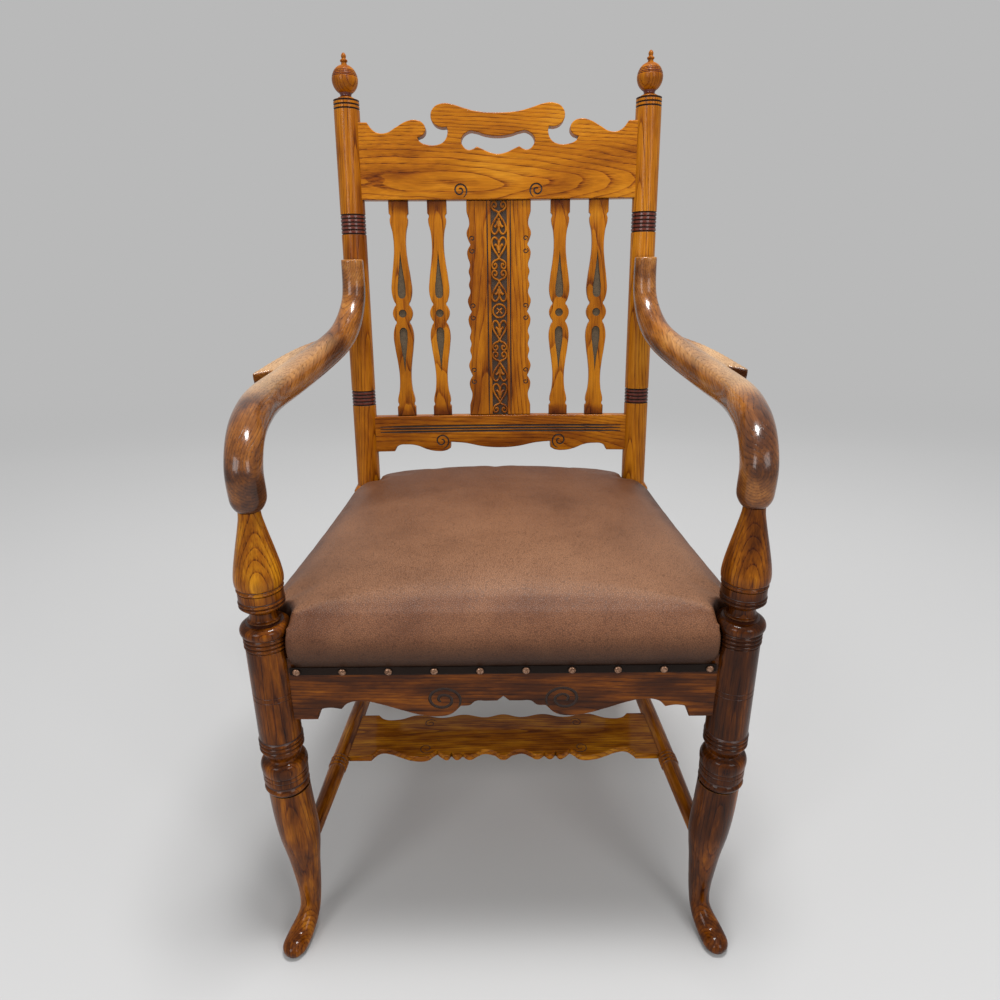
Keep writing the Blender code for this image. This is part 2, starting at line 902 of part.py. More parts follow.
def make_crest_rail():
    low = crest_bottom
    top = crest_bottom + crest_end_height
    end = post_x
    outline = [
        (-end, low, CORNER),
        (-end, top, CORNER),
        (-0.1930, top, CORNER),
        (-0.1865, top - 0.0084, SMOOTH),
        (-0.1780, top - 0.0136, SMOOTH),
        (-0.1647, top - 0.0136, SMOOTH),
        (-0.1515, top - 0.0066, SMOOTH),
        (-0.1344, top + 0.0021, SMOOTH),
        (-0.1212, top + 0.0038, SMOOTH),
        (-0.1110, top - 0.0004, SMOOTH),
        (-0.1072, top - 0.0084, SMOOTH),
        (-0.1107, top - 0.0163, SMOOTH),
        (-0.1193, top - 0.0203, CORNER),
        (-0.1165, top - 0.0250, SMOOTH),
        (-0.1060, top - 0.0294, SMOOTH),
        (-0.0890, top - 0.0294, SMOOTH),
        (-0.0795, top - 0.0241, SMOOTH),
        (-0.0748, top - 0.0136, SMOOTH),
        (-0.0757, top - 0.0058, CORNER),
        (-0.0843, top - 0.0062, SMOOTH),
        (-0.0947, top - 0.0014, SMOOTH),
        (-0.0992, top + 0.0086, SMOOTH),
        (-0.0947, top + 0.0200, SMOOTH),
        (-0.0815, top + 0.0258, SMOOTH),
        (-0.0683, top + 0.0250, SMOOTH),
        (-0.0493, top + 0.0196, SMOOTH),
        (-0.0303, top + 0.0152, SMOOTH),
        (0, top + 0.0134, SMOOTH),
    ]
    handhold = [
        (-0.0545, top - 0.0230, SMOOTH),
        (-0.0430, top - 0.0117, SMOOTH),
        (-0.0330, top - 0.0122, SMOOTH),
        (-0.0190, top - 0.0162, SMOOTH),
        (0, top - 0.0182, SMOOTH),
    ]
    handhold_low = [
        (0, top - 0.0424, SMOOTH),
        (-0.0120, top - 0.0404, SMOOTH),
        (-0.0240, top - 0.0354, SMOOTH),
        (-0.0318, top - 0.0322, CORNER),
        (-0.0375, top - 0.0356, SMOOTH),
        (-0.0450, top - 0.0366, SMOOTH),
        (-0.0520, top - 0.0316, SMOOTH),
    ]
    right_top = [(-x, z, kind) for x, z, kind in reversed(handhold[:-1])]
    right_low = [(-x, z, kind) for x, z, kind in reversed(handhold_low[1:])]
    slot = handhold + right_top + right_low + handhold_low
    rail = prism("crest_rail", [mirrored(outline), slot], crest_thickness, 2)
    cut_slat_mortises(rail, True)
    return finish_back_rail(rail, crest_tenon_low, crest_tenon_high)


def make_lower_back_rail():
    low = lower_rail_bottom
    top = low + lower_rail_height
    outline = [
        (-post_x, top, CORNER),
        (-post_x, low + 0.0010, CORNER),
        (-0.1751, low + 0.0010, CORNER),
        (-0.1695, low + 0.0098, SMOOTH),
        (-0.1536, low + 0.0120, SMOOTH),
        (-0.1377, low + 0.0098, SMOOTH),
        (-0.1220, low + 0.0034, SMOOTH),
        (-0.1063, low, SMOOTH),
        (-0.0902, low + 0.0010, SMOOTH),
        (-0.0828, low + 0.0050, CORNER),
        (-0.0824, low + 0.0152, CORNER),
        (-0.0586, low + 0.0130, SMOOTH),
        (-0.0268, low + 0.0066, SMOOTH),
        (0, low + 0.0049, SMOOTH),
    ]
    loop = mirrored(outline)
    rail = prism("lower_back_rail", [loop], lower_rail_thickness, 2)
    cut_slat_mortises(rail, False)
    return finish_back_rail(rail, lower_tenon_low, lower_tenon_high)


def make_slat(x):
    """A flat slat, fretted alike above and below its round middle."""
    middle = crest_bottom - slat_length / 2 - 0.0018
    end_width = 0.0148
    end_height = 0.1480
    half = [
        (0.0156, 0.0000),
        (0.0128, 0.0095),
        (0.0102, 0.0136),
        (0.0126, 0.0185),
        (0.0158, 0.0325),
        (0.0145, 0.0520),
        (0.0109, 0.0780),
        (0.0092, 0.0980),
        (0.0103, 0.1200),
        (0.0138, 0.1392),
        (0.0125, 0.1445),
    ]
    top = crest_bottom - fit
    bottom = crest_bottom - slat_length + fit
    right = [(end_width, top, CORNER), (end_width, middle + end_height, CORNER)]
    right += [(width, middle + rise, SMOOTH) for width, rise in reversed(half)]
    right += [(width, middle - rise, SMOOTH) for width, rise in half[1:]]
    right += [(end_width, middle - end_height, CORNER), (end_width, bottom, CORNER)]
    left = [(-width, z, kind) for width, z, kind in reversed(right)]
    loop = [(x + offset, z, kind) for offset, z, kind in right + left]
    slat = prism("slat", [loop], slat_thickness, 1)
    tenons = [
        slat_tenon("tenon", x, slat_tenon_width, slat_tenon_thickness, at_top)
        for at_top in (True, False)
    ]
    join(slat, *tenons)
    set_in_back(slat)
    return slat


def make_centre_splat():
    """A wide splat whose edges have three pairs of scrolls and small bumps between."""
    top = crest_bottom - fit
    bottom = crest_bottom - slat_length + fit
    middle = (top + bottom) / 2
    block_reach = 0.0493
    block_height = 0.0160
    waist = 0.0454
    bump_reach = 0.0476
    scroll_pitch = 0.1005
    pair = [
        (waist, 0.0300, SMOOTH),
        (0.0497, 0.0170, SMOOTH),
        (0.0483, 0.0095, SMOOTH),
        (0.0441, 0.0000, CORNER),
        (0.0491, -0.0100, SMOOTH),
        (0.0488, -0.0175, SMOOTH),
        (waist, -0.0295, SMOOTH),
    ]
    bumps = [
        (bump_reach, -0.0400, SMOOTH),
        (waist, -0.0500, SMOOTH),
        (bump_reach, -0.0600, SMOOTH),
    ]
    edge = [(block_reach, top, CORNER), (block_reach, top - block_height, CORNER)]
    for turn in (1, 0, -1):
        centre = middle + turn * scroll_pitch
        steps = pair if turn == -1 else pair + bumps
        edge += [(reach, centre + rise, kind) for reach, rise, kind in steps]
    edge += [(block_reach, bottom + block_height, CORNER), (block_reach, bottom, CORNER)]
    left = [(-x, z, kind) for x, z, kind in reversed(edge)]
    splat = prism("centre_splat", [edge + left], splat_thickness, 2)
    tenons = [
        slat_tenon("tenon", 0, splat_tenon_width, splat_tenon_thickness, at_top)
        for at_top in (True, False)
    ]
    join(splat, *tenons)
    slice_across(splat, 0.024)
    set_in_back(splat)
    return splat


# Finials

def make_finial():
    profile = [
        (0, finial_height),
        (0.0022, finial_height - 0.0008),
        (0.0036, finial_height - 0.0040),
        (0.0030, finial_height - 0.0080),
        (0.0052, finial_height - 0.0095),
        (0.0052, finial_height - 0.0118),
        (0.0034, finial_height - 0.0135),
    ]
    for step in range(1, 9):
        angle = math.pi * step / 9
        profile.append((
            finial_ball_radius * math.sin(angle),
            finial_ball_height + finial_ball_radius * 1.06 * math.cos(angle),
        ))
    profile += [
        (0.0084, 0.0055),
        (0.0094, 0.0020),
        (0.0125, fit),
        (finial_dowel_radius, fit),
        (finial_dowel_radius, -finial_dowel_length),
        (0, -finial_dowel_length),
    ]
    finial = turned("finial", profile, slim_sides)
    finial.data.transform(back_frame @ Matrix.Translation((post_x, 0, post_height)))
    return finial


# Arms

arm_front_x = front_leg_x - 0.001
arm_base = support_height + fit


def arm_stations():
    """From the top of the swan neck on the post, down and out, to the hand rest."""
    top = back_frame @ Vector((post_x, 0, arm_end_height))
    neck_y = top.y - post_radius - 0.0110
    front_y = front_leg_y
    span = neck_y - front_y
    fall = top.z - arm_base
    return [
        (post_x, neck_y, top.z, 0.0330, 0.0330),
        (post_x, neck_y - 0.0030, top.z - fall * 0.1711, 0.0340, 0.0340),
        (post_x + 0.002, neck_y - 0.0120, top.z - fall * 0.2824, 0.0350, 0.0350),
        (post_x + 0.007, neck_y - 0.0380, top.z - fall * 0.3936, 0.0380, 0.0365),
        (post_x + 0.015, front_y + span * 0.823, top.z - fall * 0.4706, 0.0400, 0.0375),
        (post_x + 0.034, front_y + span * 0.678, top.z - fall * 0.5434, 0.0440, 0.0380),
        (post_x + 0.052, front_y + span * 0.491, top.z - fall * 0.5947, 0.0470, 0.0380),
        (front_leg_x + 0.013, front_y + span * 0.316, top.z - fall * 0.6204, 0.0450, 0.0380),
        (front_leg_x + 0.008, front_y + span * 0.164, top.z - fall * 0.6418, 0.0415, 0.0380),
        (front_leg_x + 0.002, front_y + span * 0.055, top.z - fall * 0.6931, 0.0392, 0.0385),
        (arm_front_x, front_y - 0.001, top.z - fall * 0.8044, 0.0386, 0.0386),
        (arm_front_x, front_y, arm_base + 0.0160, 0.0384, 0.0384),
        (arm_front_x, front_y, arm_base + 0.0070, 0.0350, 0.0350),
        (arm_front_x, front_y, arm_base, 0.0270, 0.0270),
    ]


def make_arm_wing(stations):
    """The flat elbow rest that grows out of the outer side of the arm."""
    elbow = Vector(stations[6][:3])
    slope = math.atan(0.165)
    outline = [
        (-0.0390, 0.131, CORNER),
        (-0.0230, 0.137, SMOOTH),
        (0.0010, 0.111, SMOOTH),
        (0.0200, 0.072, SMOOTH),
        (0.0335, 0.031, SMOOTH),
        (0.0445, -0.009, CORNER),
        (0.0225, 0.005, CORNER),
        (0.0070, 0.001, CORNER),
        (-0.0120, 0.056, CORNER),
    ]
    wing = prism("arm_wing", [outline], arm_wing_thickness, 2)
    wing.data.transform(lean_forward.inverted())
    rise = 0.013 - arm_wing_thickness / 2
    wing.data.transform(
        Matrix.Translation(elbow + Vector((0, 0, rise))) @ Matrix.Rotation(slope, 4, "X")
    )
    return wing


def make_arm():
    stations = arm_stations()
    arm = sweep("arm", stations, sides=post_sides, squareness=2.3, steps=2)
    join(arm, make_arm_wing(stations))
    return arm


def arm_dowel_ends():
    """The dowel crosses the post square to its length and enters the arm."""
    height = arm_end_height - 0.022
    start = back_frame @ Vector((post_x, 0.006, height))
    end = back_frame @ Vector((post_x, 0.006 - arm_dowel_length, height))
    return start, end


# Stretchers

stretcher_start = Vector((front_leg_x - stretcher_front_inset, front_leg_y, stretcher_height))
stretcher_end = Vector((post_x, rear_leg_y(stretcher_height), stretcher_height))
stretcher_run = stretcher_end - stretcher_start
stretcher_direction = stretcher_run.normalized()
stretcher_frame = Matrix.Translation(stretcher_start) @ aim(stretcher_direction)
knee_radius = 0.0240


def make_side_stretcher():
    length = stretcher_run.length
    ring_half = stretcher_ring_length / 2
    ring_y = cross_board_front - stretcher_ring_gap - ring_half
    ring = ring_y * length / stretcher_run.y
    start = knee_radius - tenon_length
    end = length - knee_radius + 0.010 + fit
    ring_radius = stretcher_middle_radius + 0.0010
    profile = [
        (0, end),
        (stretcher_end_radius, end),
        (stretcher_end_radius, length - knee_radius - 0.010),
        (stretcher_middle_radius - 0.0010, length * 0.76),
        (stretcher_middle_radius, length * 0.52),
        (stretcher_middle_radius, ring + ring_half + 0.004),
    ]
    profile += reeds(
        3, ring + ring_half, stretcher_ring_length / 3, ring_radius,
        stretcher_middle_radius - 0.0008,
    )
    profile += [
        (stretcher_middle_radius - 0.0003, ring - ring_half - 0.004),
        (stretcher_end_radius, knee_radius + 0.006),
        (stretcher_end_radius, start),
        (0, start),
    ]
    stretcher = turned("side_stretcher", profile, slim_sides)
    stretcher.data.transform(stretcher_frame)
    return stretcher


def stretcher_bore(name):
    """The hole for both ends of a side stretcher."""
    length = stretcher_run.length
    return cylinder(
        name,
        stretcher_frame @ Vector((0, 0, knee_radius - tenon_length - fit)),
        stretcher_frame @ Vector((0, 0, length - knee_radius + 0.010 + 2 * fit)),
        stretcher_end_radius + fit,
    )


def stretcher_x(y):
    share = (y - stretcher_start.y) / stretcher_run.y
    return stretcher_start.x + stretcher_run.x * share


cross_y = front_leg_y + cross_board_front + cross_board_depth / 2
cross_tenon_x = stretcher_x(cross_y) - stretcher_middle_radius + cross_tenon_length


def cross_tenon(name, side, grow=0.0):
    half_width = cross_tenon_width / 2 + grow
    half_thickness = cross_tenon_thickness / 2 + grow
    root = cross_tenon_x - cross_tenon_length - 0.012
    ends = sorted((side * root, side * (cross_tenon_x + grow)))
    return box(
        name,
        (ends[0], cross_y - half_width, stretcher_height - half_thickness),
        (ends[1], cross_y + half_width, stretcher_height + half_thickness),
    )


def make_cross_stretcher():
    """A flat board with shaped edges that lies between the side stretchers."""
    front = front_leg_y + cross_board_front
    back = front + cross_board_depth
    end = stretcher_x(front)
    front_edge = [
        (-end, front, CORNER),
        (-0.1959, front, CORNER),
        (-0.1916, front + 0.0075, SMOOTH),
        (-0.1832, front + 0.0150, SMOOTH),
        (-0.1697, front + 0.0137, SMOOTH),
        (-0.1528, front + 0.0060, SMOOTH),
        (-0.1359, front - 0.0007, SMOOTH),
        (-0.1122, front - 0.0007, SMOOTH),
        (-0.1045, front + 0.0070, SMOOTH),
        (-0.0990, front + 0.0118, CORNER),
        (-0.0911, front + 0.0037, SMOOTH),
        (-0.0835, front, SMOOTH),
        (-0.0776, front + 0.0075, CORNER),
        (-0.0692, front, SMOOTH),
        (-0.0607, front + 0.0068, CORNER),
        (-0.0505, front, SMOOTH),
        (-0.0379, front + 0.0075, SMOOTH),
        (-0.0290, front + 0.0125, SMOOTH),
        (-0.0134, front + 0.0088, CORNER),
        (0, front - 0.0007, SMOOTH),
    ]
    back_edge = [
        (0, back, SMOOTH),
        (-0.0280, back - 0.0070, SMOOTH),
        (-0.0630, back, SMOOTH),
        (-0.0950, back - 0.0075, SMOOTH),
        (-0.1360, back - 0.0005, SMOOTH),
        (-0.1650, back - 0.0112, SMOOTH),
        (-0.1880, back - 0.0100, SMOOTH),
        (-0.1980, back, CORNER),
        (-end, back, CORNER),
    ]
    right_front = [(-x, y, kind) for x, y, kind in reversed(front_edge[:-1])]
    right_back = [(-x, y, kind) for x, y, kind in reversed(back_edge[1:])]
    loop = front_edge + right_front + right_back + back_edge
    board = prism("cross_stretcher", [loop], cross_board_thickness, 2)
    board.data.transform(lean_forward.inverted())
    board.data.transform(Matrix.Translation((0, 0, stretcher_height)))
    for side in (-1, 1):
        mirror = Matrix.Diagonal((side, 1, 1, 1))
        start = mirror @ (stretcher_start - stretcher_direction * 0.05)
        finish_point = mirror @ (stretcher_end + stretcher_direction * 0.05)
        space = cylinder(
            "stretcher_space", start, finish_point, stretcher_middle_radius + fit
        )
        add_boolean(board, space, "DIFFERENCE")
        apply_modifiers(board)
        bpy.data.objects.remove(space, do_unlink=True)
    keep_between(board, stretcher_x(back))
    for side in (-1, 1):
        join(board, cross_tenon("tenon", side))
    return board


# Upholstery

def seat_corners(offset):
    """The four corners of the rails' outer faces, moved out by the offset."""
    outward = rail_thickness / 2 + offset
    side_point = side_start + side_out * outward
    across = Vector((1, 0, 0))
    front = line_crossing(
        side_point, side_direction, Vector((0, front_leg_y - outward, 0)), across
    )
    back = line_crossing(side_point, side_direction, Vector((0, post_y + outward, 0)), across)
    return front, back


def seat_ring(offset, corner, side_points=6, front_points=6, corner_points=2):
    """Points round the seat outline with rounded corners, anticlockwise from front left."""
    front, back = seat_corners(offset)
    corners = [
        Vector((-front.x, front.y)),
        Vector((front.x, front.y)),
        Vector((back.x, back.y)),
        Vector((-back.x, back.y)),
    ]
    counts = [front_points, side_points, front_points, side_points]
    points = []
    for index, count in enumerate(counts):
        start = corners[index]
        end = corners[(index + 1) % 4]
        direction = (end - start).normalized()
        before = (corners[index - 1] - start).normalized()
        first = start + direction * corner
        last = end - direction * corner
        for step in range(1, corner_points + 1):
            share = step / (corner_points + 1)
            entry = start + before * corner
            bend = (entry * (1 - share) ** 2 + start * 2 * share * (1 - share)
                    + first * share ** 2)
            points.append(bend)
        for step in range(count + 1):
            points.append(first.lerp(last, step / count))
    return points


def rise_share(y, height):
    """How much of the back's extra height a point of the seat's side has."""
    front, back = seat_corners(0)
    share_y = min(1.0, max(0.0, (y - front.y) / (back.y - front.y)))
    share_z = (height - leather_hem_bottom) / (edge_height - leather_hem_bottom)
    return share_y * max(0.0, share_z) ** 1.5


def across_share(x, y):
    """1 on the middle line of the seat and 0 at its sides."""
    front, back = seat_corners(0)
    share_y = (y - front.y) / (back.y - front.y)
    half_width = front.x + (back.x - front.x) * share_y
    return max(0.0, 1 - (x / half_width) ** 2)


def back_height(x, y):
    """The seat's edge stands higher at the back, most of all in the middle."""
    return back_rise + back_crown * across_share(x, y)


def crown(x, y):
    """The domed top of the seat, highest a little behind the middle."""
    front, back = seat_corners(0)
    share_y = (y - front.y) / (back.y - front.y)
    along = max(0.0, 4 * share_y * (1 - share_y))
    base = edge_height + back_height(x, y) * share_y
    return base + (crown_height - base) * across_share(x, y) ** 0.70 * along ** 0.55


def seat_dome(name, inset, base, with_hem):
    """The stuffed seat: hem, drawn-in sides, bulge, shoulder and crown.

    With an inset it is the stuffing under the leather, closed by a floor.
    """
    hem_offset = leather_thickness + fit
    hem_top = border_bottom + border_height + 0.002
    layers = [
        (hem_offset - inset, hem_top, 0.012) if with_hem else (-inset, base, 0.012),
        (leather_bulge * 0.72 - inset, edge_height * 0.900, 0.018),
        (leather_bulge - inset, edge_height * 0.938, 0.024),
        (leather_bulge * 0.60 - inset, edge_height * 0.974 - inset * 0.6, 0.030),
        (-0.006 - inset, edge_height - inset, 0.040),
        (-0.032 - inset, None, 0.050),
        (-0.075 - inset, None, 0.055),
        (-0.120 - inset, None, 0.050),
        (-0.165 - inset, None, 0.030),
    ]
    if with_hem:
        layers.insert(0, (hem_offset, base, 0.012))
    bm = bmesh.new()
    rings = []
    for offset, height, corner in layers:
        ring = []
        for point in seat_ring(offset, corner):
            if height is None:
                z = crown(point.x, point.y) - inset
            else:
                z = height + rise_share(point.y, height) * back_height(point.x, point.y)
            ring.append(bm.verts.new((point.x, point.y, z)))
        rings.append(ring)
    for lower, upper in zip(rings, rings[1:]):
        for side in range(len(lower)):
            other = (side + 1) % len(lower)
            bm.faces.new((lower[side], lower[other], upper[other], upper[side]))
    middle_y = sum(vertex.co.y for vertex in rings[-1]) / len(rings[-1])
    centre = bm.verts.new((0, middle_y, crown(0, middle_y) - inset))
    for side in range(len(rings[-1])):
        other = (side + 1) % len(rings[-1])
        bm.faces.new((rings[-1][side], rings[-1][other], centre))
    if not with_hem:
        bm.faces.new(rings[0])
    return object_from_bmesh(name, bm)


notch_bottom = rail_top - 0.05
notch_top = crown_height + 0.05


def clear_legs(target, front_clearance, back_clearance):
    """Notch an upholstery layer round the four legs."""
    for side in (-1, 1):
        x = side * front_leg_x
        column = cylinder(
            "leg_notch", (x, front_leg_y, notch_bottom), (x, front_leg_y, notch_top),
            column_radius + front_clearance, post_sides,
        )
        half = block_size / 2 + back_clearance
        block = box(
            "post_notch", (side * post_x - half, post_y - half, notch_bottom),
            (side * post_x + half, post_y + half + 0.04, notch_top),
        )
        ends = sorted((x - side * 0.012, x + side * 0.06))
        outer_corner = box(
            "corner_notch", (ends[0], front_leg_y - 0.06, notch_bottom),
            (ends[1], front_leg_y - 0.002, notch_top),
        )
        for space in (column, block, outer_corner):
            add_boolean(target, space, "DIFFERENCE")
            apply_modifiers(target)
            bpy.data.objects.remove(space, do_unlink=True)
    keep_largest(target)


layer_top = rail_top + fit


def make_webbing():
    """Two layers of straps: front to back, then side to side on top."""
    front, back = seat_corners(-0.004)
    pitch = web_width * 1.5
    for index in range(web_count):
        x = (index - (web_count - 1) / 2) * pitch
        strap = box(
            "webbing_lengthwise_" + str(index + 1),
            (x - web_width / 2, front.y, layer_top),
            (x + web_width / 2, back.y, layer_top + web_thickness),
        )
        finish(strap, webbing_cloth)
    cross_layer = layer_top + web_thickness + fit
    room = back.y - front.y - web_side_margin * 2
    for index in range(web_count):
        y = front.y + web_side_margin + room * (index + 0.5) / web_count
        share = (y + web_width / 2 - front.y) / (back.y - front.y)
        reach = front.x + (back.x - front.x) * share
        strap = box(
            "webbing_crosswise_" + str(index + 1),
            (-reach, y - web_width / 2, cross_layer),
            (reach, y + web_width / 2, cross_layer + web_thickness),
        )
        finish(strap, webbing_cloth)


canvas_bottom = layer_top + 2 * (web_thickness + fit)
stuffing_bottom = canvas_bottom + canvas_thickness + fit


def make_canvas():
    ring = seat_ring(-0.004, 0.008, 1, 1, 1)
    loop = [(point.x, point.y, CORNER) for point in ring]
    canvas = prism("seat_canvas", [loop], canvas_thickness, 1)
    canvas.data.transform(lean_forward.inverted())
    canvas.data.transform(Matrix.Translation((0, 0, canvas_bottom + canvas_thickness / 2)))
    clear_legs(canvas, leg_clearance, 0.002)
    return canvas


def make_stuffing():
    inset = leather_thickness + stuffing_gap
    stuffing = seat_dome("seat_stuffing", inset, stuffing_bottom, False)
    clear_legs(stuffing, leg_clearance + 0.001, 0.003)
    return stuffing


def make_leather():
    leather = seat_dome("seat_leather", 0.0, leather_hem_bottom, True)
    solidify = leather.modifiers.new("thickness", "SOLIDIFY")
    solidify.thickness = leather_thickness
    solidify.offset = -1.0
    apply_modifiers(leather)
    clear_legs(leather, leg_clearance, 0.0015)
    return leather


border_offset = rail_thickness / 2 + leather_thickness + 2 * fit


def make_border_strips():
    """Leather strips that cover the hem on the front, the sides and the back."""
    top = border_bottom + border_height
    front_reach = front_leg_x - column_radius - 0.0006
    front = box(
        "border_strip_front",
        (-front_reach, front_leg_y - border_offset - border_thickness, border_bottom),
        (front_reach, front_leg_y - border_offset, top),
    )
    back_reach = post_x - block_size / 2 - 0.002
    back = box(
        "border_strip_back",
        (-back_reach, post_y + border_offset, border_bottom),
        (back_reach, post_y + border_offset + border_thickness, top),
    )
    side_from = column_radius + 0.004
    side_to = side_run.length - block_size / 2 - 0.004
    side = box(
        "border_strip_side", (side_from, border_offset, border_bottom),
        (side_to, border_offset + border_thickness, top), side_frame,
    )
    face = border_offset + border_thickness
    add_strip_nails(
        back, Vector((0, post_y + face, nail_z)), Vector((1, 0, 0)), Vector((0, 1, 0)),
        2 * back_reach - nail_end_room,
    )
    middle = side_frame @ Vector(((side_from + side_to) / 2, face, nail_z))
    add_strip_nails(side, middle, side_direction, side_out, side_to - side_from - nail_end_room)
    return front, back, side


def spread(room, spacing):
    """Evenly spaced offsets that fill the room, centred."""
    count = math.floor(room / spacing) + 1
    return [(index - (count - 1) / 2) * spacing for index in range(count)]


def make_nail_head(name, matrix, sides=8):
    """A low dome on a flat back."""
    profile = [
        (0, nail_height),
        (nail_radius * 0.40, nail_height * 0.90),
        (nail_radius * 0.80, nail_height * 0.52),
        (nail_radius, 0),
        (0, 0),
    ]
    head = turned(name, profile, sides)
    head.data.transform(matrix)
    return head


nail_z = border_bottom + border_height / 2


def make_front_nails():
    """A row of separate nails along the front strip."""
    room = front_leg_spacing - 2 * column_radius - nail_end_room
    y = front_leg_y - border_offset - border_thickness - fit
    for index, x in enumerate(spread(room, nail_spacing)):
        matrix = Matrix.Translation((x, y, nail_z)) @ aim(Vector((0, -1, 0)))
        nail = make_nail_head("border_nail_front_" + str(index + 1), matrix)
        finish(nail, nail_bronze)


def add_strip_nails(strip, middle, along, outward, room):
    """Nails that stay in one piece with the side or back strip."""
    sunk = outward * (nail_height * 0.15)
    nails = [
        make_nail_head(
            "strip_nail", Matrix.Translation(middle + along * offset - sunk) @ aim(outward)
        )
        for offset in spread(room, nail_spacing)
    ]
    join(strip, *nails)


# Put the chair together

def build():
    finish(make_crest_rail(), golden_oak)
    finish(make_lower_back_rail(), golden_oak)
    finish(make_centre_splat(), golden_oak)
    for side, word in ((-1, "left"), (1, "right")):
        for offset, place in zip(slat_offsets, ("inner", "outer")):
            finish(make_slat(side * offset), golden_oak, "slat_" + place + "_" + word)

    post = make_back_post()
    for low, high in ((crest_tenon_low, crest_tenon_high), (lower_tenon_low, lower_tenon_high)):
        mortise = back_tenon("post_mortise", 1, low, high, fit)
        set_in_back(mortise)
        cut(post, mortise)
    cut(post, side_mortise("post_side_mortise"))
    cut(post, cross_mortise("post_back_mortise", back_tenon_x, post_y))
    bore_top = back_frame @ Vector((post_x, 0, post_height + 0.01))
    bore_bottom = back_frame @ Vector((post_x, 0, post_height - finial_dowel_length - 0.001))
    cut(post, cylinder("finial_bore", bore_top, bore_bottom, finial_dowel_radius + fit))
    dowel_start, dowel_end = arm_dowel_ends()
    along = (dowel_end - dowel_start).normalized() * fit
    dowel_bore = cylinder(
        "arm_dowel_bore", dowel_start - along, dowel_end + along, arm_dowel_radius + fit
    )
    cut(post, dowel_bore)
    bore = stretcher_bore("stretcher_bore")
    cut(post, bore)
    finish(post, golden_oak, "back_post_right")
    mirror_copy(post, "back_post_left", golden_oak)

    finial = finish(make_finial(), dark_oak, "finial_right")
    mirror_copy(finial, "finial_left", dark_oak)

    leg = make_front_leg()
    cut(leg, side_mortise("leg_side_mortise"))
    cut(leg, cross_mortise("leg_front_mortise", front_tenon_x, front_leg_y))
    cut(leg, bore)
    finish(leg, dark_oak, "front_leg_right")
    mirror_copy(leg, "front_leg_left", dark_oak)

    arm = make_arm()
    post_space = cylinder(
        "arm_cope", back_frame @ Vector((post_x, 0, 0)),
        back_frame @ Vector((post_x, 0, post_height)), post_radius + fit, post_sides,
    )
    cut(arm, post_space)
    cut(arm, dowel_bore)
    support_bore = cylinder(
        "support_bore", (front_leg_x, front_leg_y, support_height - 0.01),
        (front_leg_x, front_leg_y, support_height + support_tenon_length + fit),
        support_tenon_radius + fit,
    )
    cut(arm, support_bore)
    finish(arm, arm_oak, "arm_right")
    mirror_copy(arm, "arm_left", arm_oak)
    dowel = cylinder("arm_dowel_right", dowel_start, dowel_end, arm_dowel_radius)
    finish(dowel, hidden_oak)
    mirror_copy(dowel, "arm_dowel_left", hidden_oak)

    finish(make_front_rail(), dark_oak)
    finish(make_back_rail(), golden_oak)
    side_rail = finish(make_side_rail(), dark_oak, "side_rail_right")
    mirror_copy(side_rail, "side_rail_left", dark_oak)
    for at_front, place in ((True, "front"), (False, "back")):
        block = make_corner_block(at_front)
        finish(block, hidden_oak, "corner_block_" + place + "_right")
        mirror_copy(block, "corner_block_" + place + "_left", hidden_oak)

    stretcher = make_side_stretcher()
    cut(stretcher, cross_tenon("cross_mortise", 1, fit))
    finish(stretcher, dark_oak, "side_stretcher_right")
    mirror_copy(stretcher, "side_stretcher_left", dark_oak)
    finish(make_cross_stretcher(), golden_oak)

    make_webbing()
    finish(make_canvas(), canvas_cloth)
    finish(make_stuffing(), stuffing_hair)
    finish(make_leather(), brown_leather)
    front, back, side = make_border_strips()
    finish(front, border_leather)
    finish(back, border_leather)
    finish(side, border_leather, "border_strip_right")
    mirror_copy(side, "border_strip_left", border_leather)
    make_front_nails()


build()
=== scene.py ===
import math

import bmesh
import bpy
import numpy as np
from mathutils import Matrix, Vector


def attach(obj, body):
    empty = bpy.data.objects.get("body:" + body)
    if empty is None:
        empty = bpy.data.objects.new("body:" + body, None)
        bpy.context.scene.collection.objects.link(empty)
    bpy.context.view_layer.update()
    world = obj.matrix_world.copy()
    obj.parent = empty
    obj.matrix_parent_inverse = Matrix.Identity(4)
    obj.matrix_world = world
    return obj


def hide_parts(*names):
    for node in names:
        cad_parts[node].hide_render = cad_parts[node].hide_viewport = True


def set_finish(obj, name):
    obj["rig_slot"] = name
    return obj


# Leather seat armchair in oak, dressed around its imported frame
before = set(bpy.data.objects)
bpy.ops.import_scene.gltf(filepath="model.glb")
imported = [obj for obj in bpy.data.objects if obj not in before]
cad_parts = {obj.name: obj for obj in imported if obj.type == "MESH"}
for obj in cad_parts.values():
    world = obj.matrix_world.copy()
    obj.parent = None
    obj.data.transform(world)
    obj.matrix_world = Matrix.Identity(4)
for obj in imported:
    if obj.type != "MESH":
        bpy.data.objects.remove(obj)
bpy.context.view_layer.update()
print("frame loaded")

